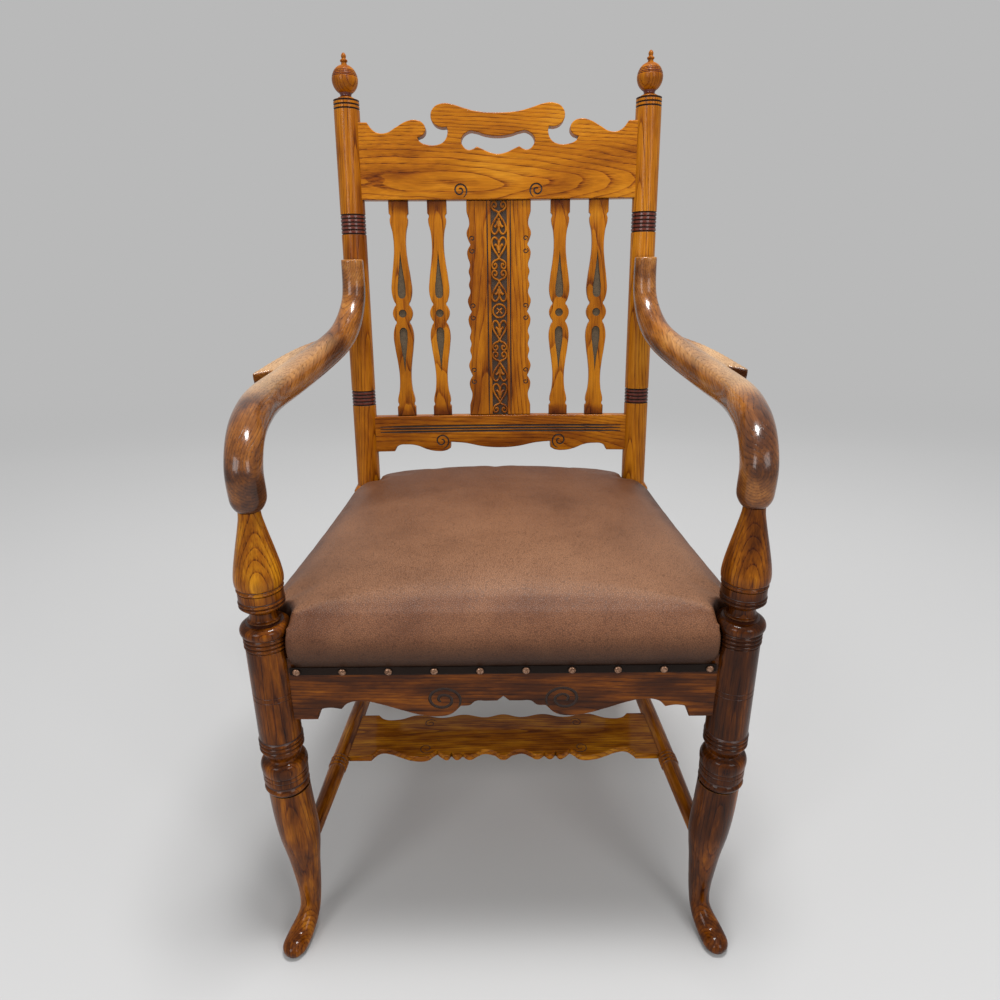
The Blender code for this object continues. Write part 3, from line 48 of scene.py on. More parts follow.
# Where the chair's main lines run, in metres
plan = {
    "frontLegX": 0.270,
    "frontLegY": -0.229,
    "postX": 0.222,
    "postY": 0.202,
    "railTop": 0.428,
    "railThickness": 0.022,
    "blockTop": 0.480,
    "rake": math.radians(5.0),
    "bow": 0.010,
    "supportTop": 0.606,
    "crestBottom": 0.4447,
    "fit": 0.0003,
}
legX, legY = plan["frontLegX"], plan["frontLegY"]
postX, postY = plan["postX"], plan["postY"]
backFrame = (
    Matrix.Translation((0, postY, plan["blockTop"]))
    @ Matrix.Rotation(-plan["rake"], 4, "X")
)
leanForward = Matrix.Rotation(math.pi / 2, 4, "X")
mirrorX = Matrix.Diagonal((-1, 1, 1, 1))
woodAcross = Matrix.Rotation(math.pi / 2, 4, "Y")  # grain along the chair's width
soft = "AUTO"
sharp = "VECTOR"


# Small tools for colours and shader nodes

def hexColor(text):
    channels = []
    for start in (0, 2, 4):
        value = int(text[start:start + 2], 16) / 255
        channels.append(value / 12.92 if value <= 0.04045 else ((value + 0.055) / 1.055) ** 2.4)
    return (*channels, 1.0)


def newMaterial(name):
    material = bpy.data.materials.new(name)
    material.use_nodes = True
    return material, material.node_tree, material.node_tree.nodes["Principled BSDF"]


def fillInputs(node, inputs):
    # sockets are linked, hex colours turned to linear, other values set as they are
    for key, value in inputs.items():
        if isinstance(value, bpy.types.NodeSocket):
            node.id_data.links.new(value, node.inputs[key])
        else:
            node.inputs[key].default_value = hexColor(value) if isinstance(value, str) else value


def addNode(tree, kind, inputs=None, out=0, stops=(), **settings):
    # settings are the node's own options, stops fill a ramp with hex colours or greys
    node = tree.nodes.new("ShaderNode" + kind)
    for key, value in settings.items():
        setattr(node, key, value)
    if stops:
        elements = node.color_ramp.elements
        while len(elements) < len(stops):
            elements.new(0.5)
        for element, (place, color) in zip(elements, stops):
            element.position = place
            element.color = hexColor(color) if isinstance(color, str) else (color, color, color, 1)
    fillInputs(node, inputs or {})
    return node.outputs[out]


# Oak, quarter and flat sawn, stained and varnished: growth rings with dark open pores in
# their early wood, so the eye reads long streaks and arches under a soft shine

def oakMaterial(name, look, grainAlong=None):
    material, tree, shader = newMaterial(name)
    if grainAlong is None:
        space = addNode(tree, "Attribute", None, "Vector", attribute_name="woodSpace")
    else:
        space = addNode(tree, "Mapping", {
            "Vector": addNode(tree, "TexCoord", None, "Object"),
            "Rotation": (0, math.pi / 2, 0) if grainAlong == "x" else (math.pi / 2, 0, 0),
            "Location": (0.02, 0.05, 0.3),
        })
    # slow waves of the trunk bend the rings by millimetres, pores are 0.2 to 0.3 mm wide and drawn
    # a little coarser so that they show, fibres are fine and long, and stain takes in blotches
    grain = []
    for stretch, detail, roughness, out in (
        (look["waveScale"], 2.5, 0.55, "Color"), ((1050, 1050, 38), 1.0, 0.4, "Fac"),
        ((420, 420, 7), 3.0, 0.6, "Fac"), (look["blotchScale"], 4.0, 0.62, "Fac"),
    ):
        place = addNode(tree, "VectorMath", {0: space, 1: stretch}, operation="MULTIPLY")
        grain.append(addNode(
            tree, "TexNoise",
            {"Vector": place, "Scale": 1.0, "Detail": detail, "Roughness": roughness}, out,
        ))
    waves, pores, fibres, blotches = grain
    centred = addNode(tree, "VectorMath", {0: waves, 1: (0.5, 0.5, 0.5)}, operation="SUBTRACT")
    reach = (look["waviness"], look["waviness"], 0)
    bent = addNode(tree, "VectorMath", {0: centred, 1: reach, 2: space}, operation="MULTIPLY_ADD")
    flat = addNode(tree, "VectorMath", {0: bent, 1: (1, 1, 0)}, operation="MULTIPLY")
    radius = addNode(tree, "VectorMath", {0: flat}, "Value", operation="LENGTH")
    # the trunk tapers, which opens the rings into arches on a flat face
    along = addNode(tree, "SeparateXYZ", {0: bent}, 2)
    tapered = addNode(
        tree, "Math", {0: along, 1: look["taper"], 2: radius}, operation="MULTIPLY_ADD"
    )
    years = addNode(tree, "Math", {0: tapered, 1: 1000 / look["ringMm"]}, operation="MULTIPLY")
    earlyWood = addNode(
        tree, "ValToRGB", {0: addNode(tree, "Math", {0: years}, operation="FRACT")},
        stops=[(0.0, 0.5), (0.04, 1.0), (0.18, 0.35), (0.5, 0.0), (1.0, 0.0)],
    )
    openPores = addNode(tree, "ValToRGB", {0: pores}, stops=[(0.47, 0.0), (0.58, 1.0)])
    density = addNode(tree, "Math", {0: earlyWood, 1: 0.80, 2: 0.20}, operation="MULTIPLY_ADD")
    poreMask = addNode(tree, "Math", {0: openPores, 1: density}, operation="MULTIPLY")
    # the stain attribute shifts the tone: below zero is darker, above is lighter
    contrast = look["blotchContrast"]
    stain = addNode(tree, "Attribute", None, "Fac", attribute_name="stain")
    uneven = addNode(tree, "Math", {0: blotches, 1: contrast, 2: stain}, operation="MULTIPLY_ADD")
    shade = addNode(tree, "Math", {0: uneven, 1: 0.5 - contrast / 2}, operation="ADD")
    tone = addNode(tree, "ValToRGB", {0: shade}, stops=look["tones"])
    ringDepth = addNode(tree, "Math", {0: earlyWood, 1: look["ringContrast"]}, operation="MULTIPLY")
    streaks = addNode(tree, "ValToRGB", {0: fibres}, stops=[(0.25, 0.30), (0.5, 0.5), (0.75, 0.70)])
    poreDepth = addNode(tree, "Math", {0: poreMask, 1: look["poreContrast"]}, operation="MULTIPLY")
    # painted shade: ambient occlusion darkens hollows and the wood against neighbouring pieces
    hollow = addNode(tree, "AmbientOcclusion", {"Distance": look["occlusionShadeReach"]}, "AO", samples=6)
    occlusionShadeMask = addNode(tree, "ValToRGB", {0: hollow}, stops=[(0.30, 1.0), (0.80, 0.0)])
    occlusionShade = addNode(tree, "Math", {0: occlusionShadeMask, 1: look["occlusionShade"]}, operation="MULTIPLY")
    # handling lifts the stain from the arrises, and a painted highlight brightens the same arrises
    edge = addNode(
        tree, "AmbientOcclusion", {"Distance": 0.0022}, "AO",
        samples=6, inside=True, only_local=True,
    )
    bareAndLitArris = addNode(tree, "ValToRGB", {0: edge}, stops=[(0.35, 1.0), (0.62, 0.0)])
    patchy = addNode(tree, "ValToRGB", {0: blotches}, stops=[(0.35, 0.2), (0.6, 1.0)])
    handledAndHighlit = addNode(tree, "Math", {0: patchy, 1: look["edgeWearAndHighlight"]}, operation="MULTIPLY")
    wornAndHighlight = addNode(tree, "Math", {0: bareAndLitArris, 1: handledAndHighlit}, operation="MULTIPLY")
    # hands and sleeves rub the tops pale, where the rub attribute is set, and a painted sheen
    # lightens them there too
    rub = addNode(tree, "Attribute", None, "Fac", attribute_name="rub")
    dulled = addNode(tree, "Math", {0: blotches, 1: 0.6}, operation="MULTIPLY")
    thin = addNode(tree, "Math", {0: fibres, 1: 0.9, 2: dulled}, operation="MULTIPLY_ADD")
    rubbedAndSheen = addNode(tree, "Math", {0: rub, 1: thin}, operation="MULTIPLY", use_clamp=True)
    pale = addNode(
        tree, "Mix", {0: poreDepth, 6: look["rubAndSheenTone"], 7: look["poreTone"]}, 2,
        data_type="RGBA", blend_type="MULTIPLY",
    )
    for factor, color, blend in (
        (ringDepth, look["ringTone"], "MULTIPLY"), (look["fibreContrast"], streaks, "OVERLAY"),
        (poreDepth, look["poreTone"], "MULTIPLY"), (occlusionShade, look["paintedShadeTone"], "MIX"),
        (wornAndHighlight, look["wornAndHighlightTone"], "MIX"), (rubbedAndSheen, pale, "MIX"),
    ):
        tone = addNode(
            tree, "Mix", {0: factor, 6: tone, 7: color}, 2, data_type="RGBA", blend_type=blend
        )
    sunk = addNode(tree, "Math", {0: earlyWood, 1: 0.35, 2: poreMask}, operation="MULTIPLY_ADD")
    raised = addNode(tree, "Math", {0: fibres, 1: 0.35}, operation="MULTIPLY")
    height = addNode(tree, "Math", {0: raised, 1: sunk}, operation="SUBTRACT")
    fillInputs(shader, {
        "Base Color": tone,
        "Roughness": addNode(
            tree, "Math", {0: fibres, 1: 0.22, 2: look["roughness"] - 0.11},
            operation="MULTIPLY_ADD",
        ),
        "IOR": 1.5,
        "Specular IOR Level": look["shine"],
        "Coat Weight": look["coat"],
        "Coat Roughness": look["coatRoughness"],
        "Coat IOR": 1.5,
        "Normal": addNode(
            tree, "Bump", {"Strength": look["bump"], "Distance": 0.00035, "Height": height}
        ),
    })
    return material


goldenLook = {
    "tones": [(0.20, "5F2A02"), (0.38, "874805"),
              (0.50, "A5610A"), (0.62, "B67010"), (0.80, "C68420")],
    "ringTone": "A8691E", "ringContrast": 0.60, "poreTone": "6E3C14", "poreContrast": 0.80,
    "fibreContrast": 0.36, "paintedShadeTone": "2A1204", "occlusionShade": 0.80, "occlusionShadeReach": 0.008,
    "wornAndHighlightTone": "C88A30", "edgeWearAndHighlight": 0.30, "rubAndSheenTone": "B08A5A", "ringMm": 4.4, "taper": 0.050,
    "waveScale": (16, 16, 3.2), "waviness": 0.022, "blotchScale": (22, 22, 6),
    "blotchContrast": 1.0, "roughness": 0.36, "shine": 0.10, "coat": 0.12, "coatRoughness": 0.12,
    "bump": 0.40,
}
darkLook = {
    "tones": [(0.15, "2A1002"), (0.36, "4A2203"),
              (0.50, "6E3804"), (0.64, "945408"), (0.85, "C07E16")],
    "ringTone": "9A5A20", "ringContrast": 0.60, "poreTone": "5A2E0C", "poreContrast": 0.80,
    "fibreContrast": 0.50, "paintedShadeTone": "160802", "occlusionShade": 0.90, "occlusionShadeReach": 0.010,
    "wornAndHighlightTone": "BC8234", "edgeWearAndHighlight": 0.80, "rubAndSheenTone": "A87848", "ringMm": 4.0, "taper": 0.030,
    "waveScale": (16, 16, 3.2), "waviness": 0.018, "blotchScale": (62, 62, 12),
    "blotchContrast": 1.0, "roughness": 0.30, "shine": 0.05, "coat": 0.26, "coatRoughness": 0.06,
    "bump": 0.35,
}
armOakLook = {
    "tones": [(0.15, "2C180E"), (0.36, "502C16"),
              (0.50, "764418"), (0.64, "9A6026"), (0.85, "B8823E")],
    "ringTone": "8A5A2C", "ringContrast": 0.45, "poreTone": "5A3214", "poreContrast": 0.70,
    "fibreContrast": 0.55, "paintedShadeTone": "1A0A04", "occlusionShade": 0.75, "occlusionShadeReach": 0.010,
    "wornAndHighlightTone": "B88A50", "edgeWearAndHighlight": 0.35, "rubAndSheenTone": "C8A072", "ringMm": 3.4, "taper": 0.040,
    "waveScale": (14, 14, 3.0), "waviness": 0.016, "blotchScale": (26, 26, 9),
    "blotchContrast": 1.2, "roughness": 0.24, "shine": 0.20, "coat": 0.45, "coatRoughness": 0.09,
    "bump": 0.35,
}
hiddenLook = {
    "tones": [(0.25, "5A3C20"), (0.42, "6E4E30"),
              (0.50, "8A6640"), (0.62, "9A744A"), (0.8, "AC8658")],
    "ringTone": "A88660", "ringContrast": 0.60, "poreTone": "80603C", "poreContrast": 0.65,
    "fibreContrast": 0.50, "paintedShadeTone": "3A2818", "occlusionShade": 0.60, "occlusionShadeReach": 0.012,
    "wornAndHighlightTone": "A88860", "edgeWearAndHighlight": 0.20, "rubAndSheenTone": "B09468", "ringMm": 4.2, "taper": 0.040,
    "waveScale": (16, 16, 3.2), "waviness": 0.018, "blotchScale": (25, 25, 8),
    "blotchContrast": 1.0, "roughness": 0.62, "shine": 0.40, "coat": 0.0, "coatRoughness": 0.3,
    "bump": 0.5,
}
goldenOak = oakMaterial("goldenOak", goldenLook)
darkOak = oakMaterial("darkOak", darkLook)
armOak = oakMaterial("polishedArmOak", armOakLook)
railOakY = oakMaterial("darkOakAlongY", darkLook, "y")
backRailOak = oakMaterial("goldenOakAlongX", goldenLook, "x")
hiddenOak = oakMaterial("rawFrameOak", hiddenLook, "x")


# The cut ground of grooves and sunk fields: bare wood darkened by stain, with small punch marks

def groundMaterial(name, look):
    material, tree, shader = newMaterial(name)
    coords = addNode(tree, "TexCoord", None, "Object")
    punches = addNode(
        tree, "TexVoronoi", {"Vector": coords, "Scale": 1000 / look["punchMm"], "Randomness": 0.8}
    )
    dust = addNode(tree, "TexNoise", {"Vector": coords, "Scale": 260, "Detail": 3.0})
    settled = addNode(tree, "ValToRGB", {0: dust}, stops=[(0.45, 0.0), (0.7, 0.6)])
    tone = addNode(
        tree, "ValToRGB", {0: punches}, stops=[(0.1, look["lowTone"]), (0.6, look["highTone"])]
    )
    fillInputs(shader, {
        "Base Color": addNode(
            tree, "Mix", {0: settled, 6: tone, 7: look["dust"]}, 2, data_type="RGBA"
        ),
        "Roughness": look["roughness"],
        "Normal": addNode(
            tree, "Bump", {"Strength": look["bump"], "Distance": 0.0004, "Height": punches}
        ),
    })
    return material


recessGround = groundMaterial(
    "punchedGround",
    {"punchMm": 1.3, "lowTone": "2E2216", "highTone": "54442E", "dust": "5E4C34",
     "roughness": 0.75, "bump": 0.7},
)
grooveDark = groundMaterial(
    "stainedGroove",
    {"punchMm": 2.0, "lowTone": "140703", "highTone": "2A1207", "dust": "3A1E0E",
     "roughness": 0.5, "bump": 0.2},
)
fineGroove = groundMaterial(
    "fineTurnedGroove",
    {"punchMm": 2.0, "lowTone": "1C0804", "highTone": "3A180A", "dust": "4E2812",
     "roughness": 0.4, "bump": 0.1},
)
stripGround = groundMaterial(
    "stainedStripGround",
    {"punchMm": 1.1, "lowTone": "1C0D04", "highTone": "36200C", "dust": "402812",
     "roughness": 0.6, "bump": 0.8},
)
reedStain = groundMaterial(
    "maroonReedStain",
    {"punchMm": 5.0, "lowTone": "42140B", "highTone": "5E2212", "dust": "70341A",
     "roughness": 0.22, "bump": 0.0},
)


# Cow hide, drum dyed and waxed: a pebbled grain, drawn at twice its real millimetre so that it
# shows, broken by fine creases: the light breaks up softly and the sat-on top looks paler,
# worn and lit by a painted sheen

def leatherMaterial(name, look):
    material, tree, shader = newMaterial(name)
    coords = addNode(tree, "TexCoord", None, "Object")
    place = addNode(tree, "SeparateXYZ", {0: coords}).node.outputs
    wander = addNode(tree, "TexNoise", {"Vector": coords, "Scale": 90, "Detail": 2.0}, "Color")
    stirred = addNode(
        tree, "VectorMath", {0: wander, 1: (0.0016, 0.0016, 0.0016), 2: coords},
        operation="MULTIPLY_ADD",
    )
    pebbles, creases = [
        addNode(
            tree, "TexVoronoi", {"Vector": stirred, "Scale": 1000 / look[size]},
            feature="DISTANCE_TO_EDGE",
        )
        for size in ("pebbleMm", "creaseMm")
    ]
    clouds = addNode(
        tree, "TexNoise", {"Vector": coords, "Scale": 9, "Detail": 5.0, "Roughness": 0.6}
    )
    tone = addNode(tree, "ValToRGB", {0: clouds}, stops=[
        (0.30, look["darkTone"]), (0.50, look["midTone"]), (0.72, look["lightTone"]),
    ])
    # wax lifts where people sit, and a painted sheen lightens the same faces: those that look up,
    # in soft clouds, most at the front
    normal = addNode(tree, "NewGeometry", None, "Normal")
    facing = addNode(tree, "SeparateXYZ", {0: normal}, 2)
    wornAndSheenTop = addNode(tree, "ValToRGB", {0: facing}, stops=[(0.78, 0.0), (0.95, 1.0)])
    wornAndSheenTop.node.color_ramp.interpolation = "EASE"
    cloudy = addNode(tree, "ValToRGB", {0: clouds}, stops=[(0.25, 0.55), (0.65, 1.0)])
    slide = addNode(
        tree, "MapRange",
        {0: place[1], 1: -0.15, 2: 0.22, 3: look["frontWearAndSheen"], 4: look["backWearAndSheen"]},
    )
    for factor in (cloudy, slide, look["topWearAndSheen"]):
        wornAndSheenTop = addNode(tree, "Math", {0: wornAndSheenTop, 1: factor}, operation="MULTIPLY")
    shaded = addNode(
        tree, "MapRange", {0: place[1], 1: -0.05, 2: 0.22, 3: 0.0, 4: look["backShade"]}
    )
    creased = addNode(tree, "ValToRGB", {0: pebbles}, stops=[(0.0, 0.62), (0.16, 0.0)])
    # painted shade darkens the hide toward its nailed hem and, by ambient occlusion, in its folds
    low = addNode(
        tree, "MapRange",
        {0: place[2], 1: look["darkTo"], 2: look["darkFrom"], 3: 0.0, 4: look["hemShade"]},
        interpolation_type="SMOOTHSTEP",
    )
    hollow = addNode(tree, "AmbientOcclusion", {"Distance": 0.02}, "AO", samples=6)
    occlusionShadeMask = addNode(tree, "ValToRGB", {0: hollow}, stops=[(0.35, 0.75), (0.85, 0.0)])
    for factor, color in (
        (shaded, "darkTone"), (wornAndSheenTop, "wornAndHighlightTone"), (creased, "creaseTone"), (low, "paintedShadeTone"),
        (occlusionShadeMask, "paintedShadeTone"),
    ):
        tone = addNode(tree, "Mix", {0: factor, 6: tone, 7: look[color]}, 2, data_type="RGBA")
    pebbled = addNode(tree, "ValToRGB", {0: pebbles}, stops=[(0.0, 0.0), (0.25, 1.0)])
    folded = addNode(tree, "ValToRGB", {0: creases}, stops=[(0.0, 0.0), (0.08, 0.8)])
    grain = addNode(tree, "Math", {0: pebbled, 1: folded}, operation="ADD")
    fillInputs(shader, {
        "Base Color": tone,
        "Roughness": addNode(
            tree, "Math", {0: clouds, 1: 0.16, 2: look["roughness"] - 0.08},
            operation="MULTIPLY_ADD",
        ),
        "IOR": 1.5,
        "Specular IOR Level": look["shine"],
        "Sheen Weight": look["sheen"],
        "Sheen Roughness": 0.45,
        "Sheen Tint": look["sheenTone"],
        "Normal": addNode(
            tree, "Bump", {"Strength": look["bump"], "Distance": 0.00025, "Height": grain}
        ),
    })
    return material


seatHideLook = {
    "darkTone": "56321E", "midTone": "70472F", "lightTone": "84583C", "wornAndHighlightTone": "92694D",
    "topWearAndSheen": 0.75, "backShade": 0.75, "creaseTone": "2A160D", "paintedShadeTone": "20120B",
    "darkFrom": 0.414, "darkTo": 0.466, "hemShade": 0.86, "frontWearAndSheen": 1.10, "backWearAndSheen": 0.0,
    "creaseMm": 7.0, "roughness": 0.44, "shine": 0.22, "sheen": 0.02, "sheenTone": "B89A88",
    "pebbleMm": 2.1, "bump": 0.55,
}
borderHideLook = {
    "darkTone": "120A06", "midTone": "1A110C", "lightTone": "261913", "wornAndHighlightTone": "3E2C22",
    "topWearAndSheen": 0.30, "backShade": 0.0, "creaseTone": "120A06", "paintedShadeTone": "0E0806",
    "darkFrom": 0.400, "darkTo": 0.402, "hemShade": 0.0, "frontWearAndSheen": 1.0, "backWearAndSheen": 1.0,
    "creaseMm": 5.0, "roughness": 0.50, "shine": 0.10, "sheen": 0.0, "sheenTone": "8A6A5A",
    "pebbleMm": 1.3, "bump": 0.40,
}
brownLeather = leatherMaterial("waxedBrownHide", seatHideLook)
borderLeather = leatherMaterial("darkBorderHide", borderHideLook)


# Bronzed steel nail heads: a dark lacquer, rubbed to the warm metal on their domes
def nailMaterial():
    material, tree, shader = newMaterial("bronzedSteel")
    coords = addNode(tree, "TexCoord", None, "Object")
    spots = addNode(tree, "TexNoise", {"Vector": coords, "Scale": 650, "Detail": 3.0})
    fillInputs(shader, {
        "Base Color": addNode(
            tree, "ValToRGB", {0: spots},
            stops=[(0.30, "5A4034"), (0.50, "8C6A54"), (0.70, "B4917C")],
        ),
        "Roughness": addNode(tree, "ValToRGB", {0: spots}, stops=[(0.35, 0.45), (0.65, 0.28)]),
        "Metallic": 1.0,
    })
    return material


nailBronze = nailMaterial()


# Jute and hemp cloth, plain woven from loose yarn: square crossings that read as a coarse grid
def wovenMaterial(name, look):
    material, tree, shader = newMaterial(name)
    coords = addNode(tree, "TexCoord", None, "Object")
    place = addNode(tree, "SeparateXYZ", {0: coords}).node.outputs
    pitch = 2 * math.pi * 1000 / look["yarnMm"]
    waves = []
    for axis in (0, 1):
        phase = addNode(tree, "Math", {0: place[axis], 1: pitch}, operation="MULTIPLY")
        waves.append(addNode(tree, "Math", {0: phase}, operation="SINE"))
    crossing = addNode(tree, "Math", {0: waves[0], 1: waves[1]}, operation="MULTIPLY")
    weave = addNode(tree, "Math", {0: crossing, 1: 0.5, 2: 0.5}, operation="MULTIPLY_ADD")
    fuzz = addNode(tree, "TexNoise", {"Vector": coords, "Scale": 500, "Detail": 4.0})
    hairy = addNode(tree, "ValToRGB", {0: fuzz}, stops=[(0.4, 0.0), (0.7, 0.5)])
    tone = addNode(
        tree, "ValToRGB", {0: weave}, stops=[(0.1, look["lowTone"]), (0.9, look["highTone"])]
    )
    fillInputs(shader, {
        "Base Color": addNode(
            tree, "Mix", {0: hairy, 6: tone, 7: look["fuzz"]}, 2, data_type="RGBA"
        ),
        "Roughness": 0.9,
        "Sheen Weight": 0.2,
        "Normal": addNode(tree, "Bump", {"Strength": 0.8, "Distance": 0.0005, "Height": weave}),
    })
    return material


juteWebbing = wovenMaterial(
    "juteWebbing", {"yarnMm": 2.4, "lowTone": "6E5A3C", "highTone": "A8946C", "fuzz": "B8A884"}
)
hessianCloth = wovenMaterial(
    "hessian", {"yarnMm": 3.0, "lowTone": "5E5038", "highTone": "9A8660", "fuzz": "AA9A78"}
)
print("materials made")


# Tools for meshes. Every finished piece rides on the one body and names its slot

def newPiece(name, data):
    piece = bpy.data.objects.new(name, data)
    bpy.context.scene.collection.objects.link(piece)
    return piece


def newMeshPiece(name, mesh, materials):
    mesh.materials.clear()
    for material in materials:
        mesh.materials.append(material)
    return newPiece(name, mesh)


def meshFromLists(name, points, faces, materials):
    mesh = bpy.data.meshes.new(name)
    mesh.from_pydata([tuple(point) for point in points], [], faces)
    mesh.update()
    return newMeshPiece(name, mesh, materials)


def pieceFromCurve(curve, materials):
    holder = newPiece(curve.name, curve)
    depsgraph = bpy.context.evaluated_depsgraph_get()
    mesh = bpy.data.meshes.new_from_object(holder.evaluated_get(depsgraph))
    bpy.data.objects.remove(holder, do_unlink=True)
    return newMeshPiece(curve.name, mesh, materials)


def setSlot(piece, slotIndex):
    piece.data.polygons.foreach_set("material_index", [slotIndex] * len(piece.data.polygons))


def fixNormals(piece):
    bm = bmesh.new()
    bm.from_mesh(piece.data)
    bmesh.ops.remove_doubles(bm, verts=bm.verts[:], dist=0.000004)
    bmesh.ops.recalc_face_normals(bm, faces=bm.faces[:])
    bm.to_mesh(piece.data)
    bm.free()


def bakeModifiers(piece):
    depsgraph = bpy.context.evaluated_depsgraph_get()
    mesh = bpy.data.meshes.new_from_object(piece.evaluated_get(depsgraph))
    piece.modifiers.clear()
    old = piece.data
    piece.data = mesh
    bpy.data.meshes.remove(old)


def booleanWith(piece, other, operation):
    modifier = piece.modifiers.new("shape", "BOOLEAN")
    modifier.operation = operation
    modifier.solver = "EXACT"
    modifier.object = other
    bakeModifiers(piece)
    bpy.data.objects.remove(other, do_unlink=True)


def setWood(piece, matrix, pith, along=0.0):
    # the place of each point in its plank: x and y from the pith, z along the grain
    inverse = matrix.inverted()
    mesh = piece.data
    values = np.zeros((len(mesh.vertices), 3), np.float32)
    for index, vertex in enumerate(mesh.vertices):
        local = inverse @ vertex.co
        values[index] = (local.x + pith[0], local.y + pith[1], local.z + along)
    attribute = mesh.attributes.new("woodSpace", "FLOAT_VECTOR", "POINT")
    attribute.data.foreach_set("vector", values.ravel())


def setTone(piece, name, rule):
    # a shade per point, from a rule on its place and its direction
    mesh = piece.data
    values = np.zeros(len(mesh.vertices), np.float32)
    for index, vertex in enumerate(mesh.vertices):
        values[index] = rule(vertex.co, vertex.normal)
    attribute = mesh.attributes.new(name, "FLOAT", "POINT")
    attribute.data.foreach_set("value", values)


def setEvenTone(piece, shift):
    setTone(piece, "stain", lambda place, normal: shift)


def ease(value, low, high):
    share = min(1.0, max(0.0, (value - low) / (high - low)))
    return share * share * (3 - 2 * share)


def finishPiece(piece, slotName, nodes, angle=38, weighted=False):
    piece.data.shade_smooth()
    piece.data.set_sharp_from_angle(angle=math.radians(angle))
    if weighted:
        modifier = piece.modifiers.new("even shading", "WEIGHTED_NORMAL")
        modifier.keep_sharp = True
        modifier.weight = 80
    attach(piece, "root")
    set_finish(piece, slotName)
    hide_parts(*nodes)


def mirrorPiece(piece, name, nodes, stainShift=0.0):
    # the other side's piece, with its own grain and its tone shifted by stainShift
    mesh = piece.data.copy()
    mesh.transform(mirrorX)
    mesh.flip_normals()
    attribute = mesh.attributes.get("woodSpace")
    if attribute:
        values = np.zeros(len(mesh.vertices) * 3, np.float32)
        attribute.data.foreach_get("vector", values)
        values = values.reshape(-1, 3)
        values += np.array((0.013, 0.009, 0.47), np.float32)
        attribute.data.foreach_set("vector", values.ravel())
    attribute = mesh.attributes.get("stain")
    if attribute and stainShift:
        values = np.zeros(len(mesh.vertices), np.float32)
        attribute.data.foreach_get("value", values)
        attribute.data.foreach_set("value", values + stainShift)
    twin = newPiece(name, mesh)
    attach(twin, "root")
    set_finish(twin, piece["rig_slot"])
    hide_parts(*nodes)


def softLine(rows, steps=4):
    # a line through (across, along, softness) rows, with each corner rounded by its softness
    points = []
    for index, (across, along, softness) in enumerate(rows):
        here = Vector((across, along))
        if softness == 0 or index in (0, len(rows) - 1):
            points.append(here)
            continue
        before = Vector(rows[index - 1][:2]) - here
        after = Vector(rows[index + 1][:2]) - here
        entry = here + before.normalized() * min(softness, before.length * 0.49)
        leave = here + after.normalized() * min(softness, after.length * 0.49)
        for step in range(steps + 1):
            share = step / steps
            points.append(
                entry * (1 - share) ** 2 + here * 2 * share * (1 - share) + leave * share ** 2
            )
    return points


def easedPath(stations, steps):
    # Catmull-Rom between rows of numbers, the same curve as in the solids
    rows = []
    last = len(stations) - 1
    for index in range(last):
        before = Vector(stations[max(index - 1, 0)])
        start = Vector(stations[index])
        end = Vector(stations[index + 1])
        after = Vector(stations[min(index + 2, last)])
        for step in range(steps):
            t = step / steps
            rows.append(
                0.5 * (2 * start + (end - before) * t
                       + (2 * before - 5 * start + 4 * end - after) * t ** 2
                       + (3 * start - before - 3 * end + after) * t ** 3)
            )
    rows.append(Vector(stations[last]))
    return rows


def ringPoints(centre, across, up, reachX, reachY, squareness, sides):
    points = []
    for side in range(sides):
        angle = math.tau * (side + 0.5) / sides
        cosine = math.cos(angle)
        sine = math.sin(angle)
        x = math.copysign(abs(cosine) ** (2 / squareness), cosine) * reachX
        y = math.copysign(abs(sine) ** (2 / squareness), sine) * reachY
        points.append(centre + across * x + up * y)
    return points


def sweptRings(rows, squareness, sides, turn=1):
    # rings square to a path of (x, y, z, width, depth) rows
    centres = [Vector(row[:3]) for row in rows]
    rings = []
    for index, row in enumerate(rows):
        along = centres[min(index + 1, len(rows) - 1)] - centres[max(index - 1, 0)]
        along.normalize()
        across = Vector((1, 0, 0))
        across = (across - across.dot(along) * along).normalized()
        up = across.cross(along) * turn
        rings.append(ringPoints(
            centres[index], across, up, row[3] / 2, row[4] / 2, squareness, sides
        ))
    return rings


def loftRings(name, rings, materials, darkRows=(), reedRows=()):
    # one closed skin over rings of equal count; dark rows get slot 1 and reed rows slot 2
    sides = len(rings[0])
    points = [point for ring in rings for point in ring]
    faces = []
    slots = []
    for row in range(len(rings) - 1):
        for side in range(sides):
            other = (side + 1) % sides
            low = row * sides
            high = low + sides
            faces.append((low + side, low + other, high + other, high + side))
            slots.append(1 if row in darkRows else 2 if row in reedRows else 0)
    faces.append(tuple(range(sides)))
    faces.append(tuple((len(rings) - 1) * sides + side for side in range(sides)))
    slots += [0, 0]
    piece = meshFromLists(name, points, faces, materials)
    piece.data.polygons.foreach_set("material_index", slots)
    fixNormals(piece)
    return piece


def turnedRings(line, place, sides):
    # rings of a turned piece from (radius, height) points in the frame of its axis
    angles = [math.tau * (side + 0.5) / sides for side in range(sides)]
    return [
        [place @ Vector((radius * math.cos(angle), radius * math.sin(angle), height))
         for angle in angles]
        for radius, height in line
    ]


def bandRows(rings, place, spans):
    # the rows of rings whose heights on the turning axis lie in the given spans
    inverse = place.inverted()
    rows = set()
    for row in range(len(rings) - 1):
        height = ((inverse @ rings[row][0]).z + (inverse @ rings[row + 1][0]).z) / 2
        if any(low <= height <= high for low, high in spans):
            rows.add(row)
    return rows


def beadRows(top, bottom, low, high, count=7):
    # a half-round bead between two heights
    rows = []
    for step in range(count + 1):
        angle = math.pi * step / count
        rows.append((low + (high - low) * math.sin(angle), top + (bottom - top) * step / count, 0))
    return rows


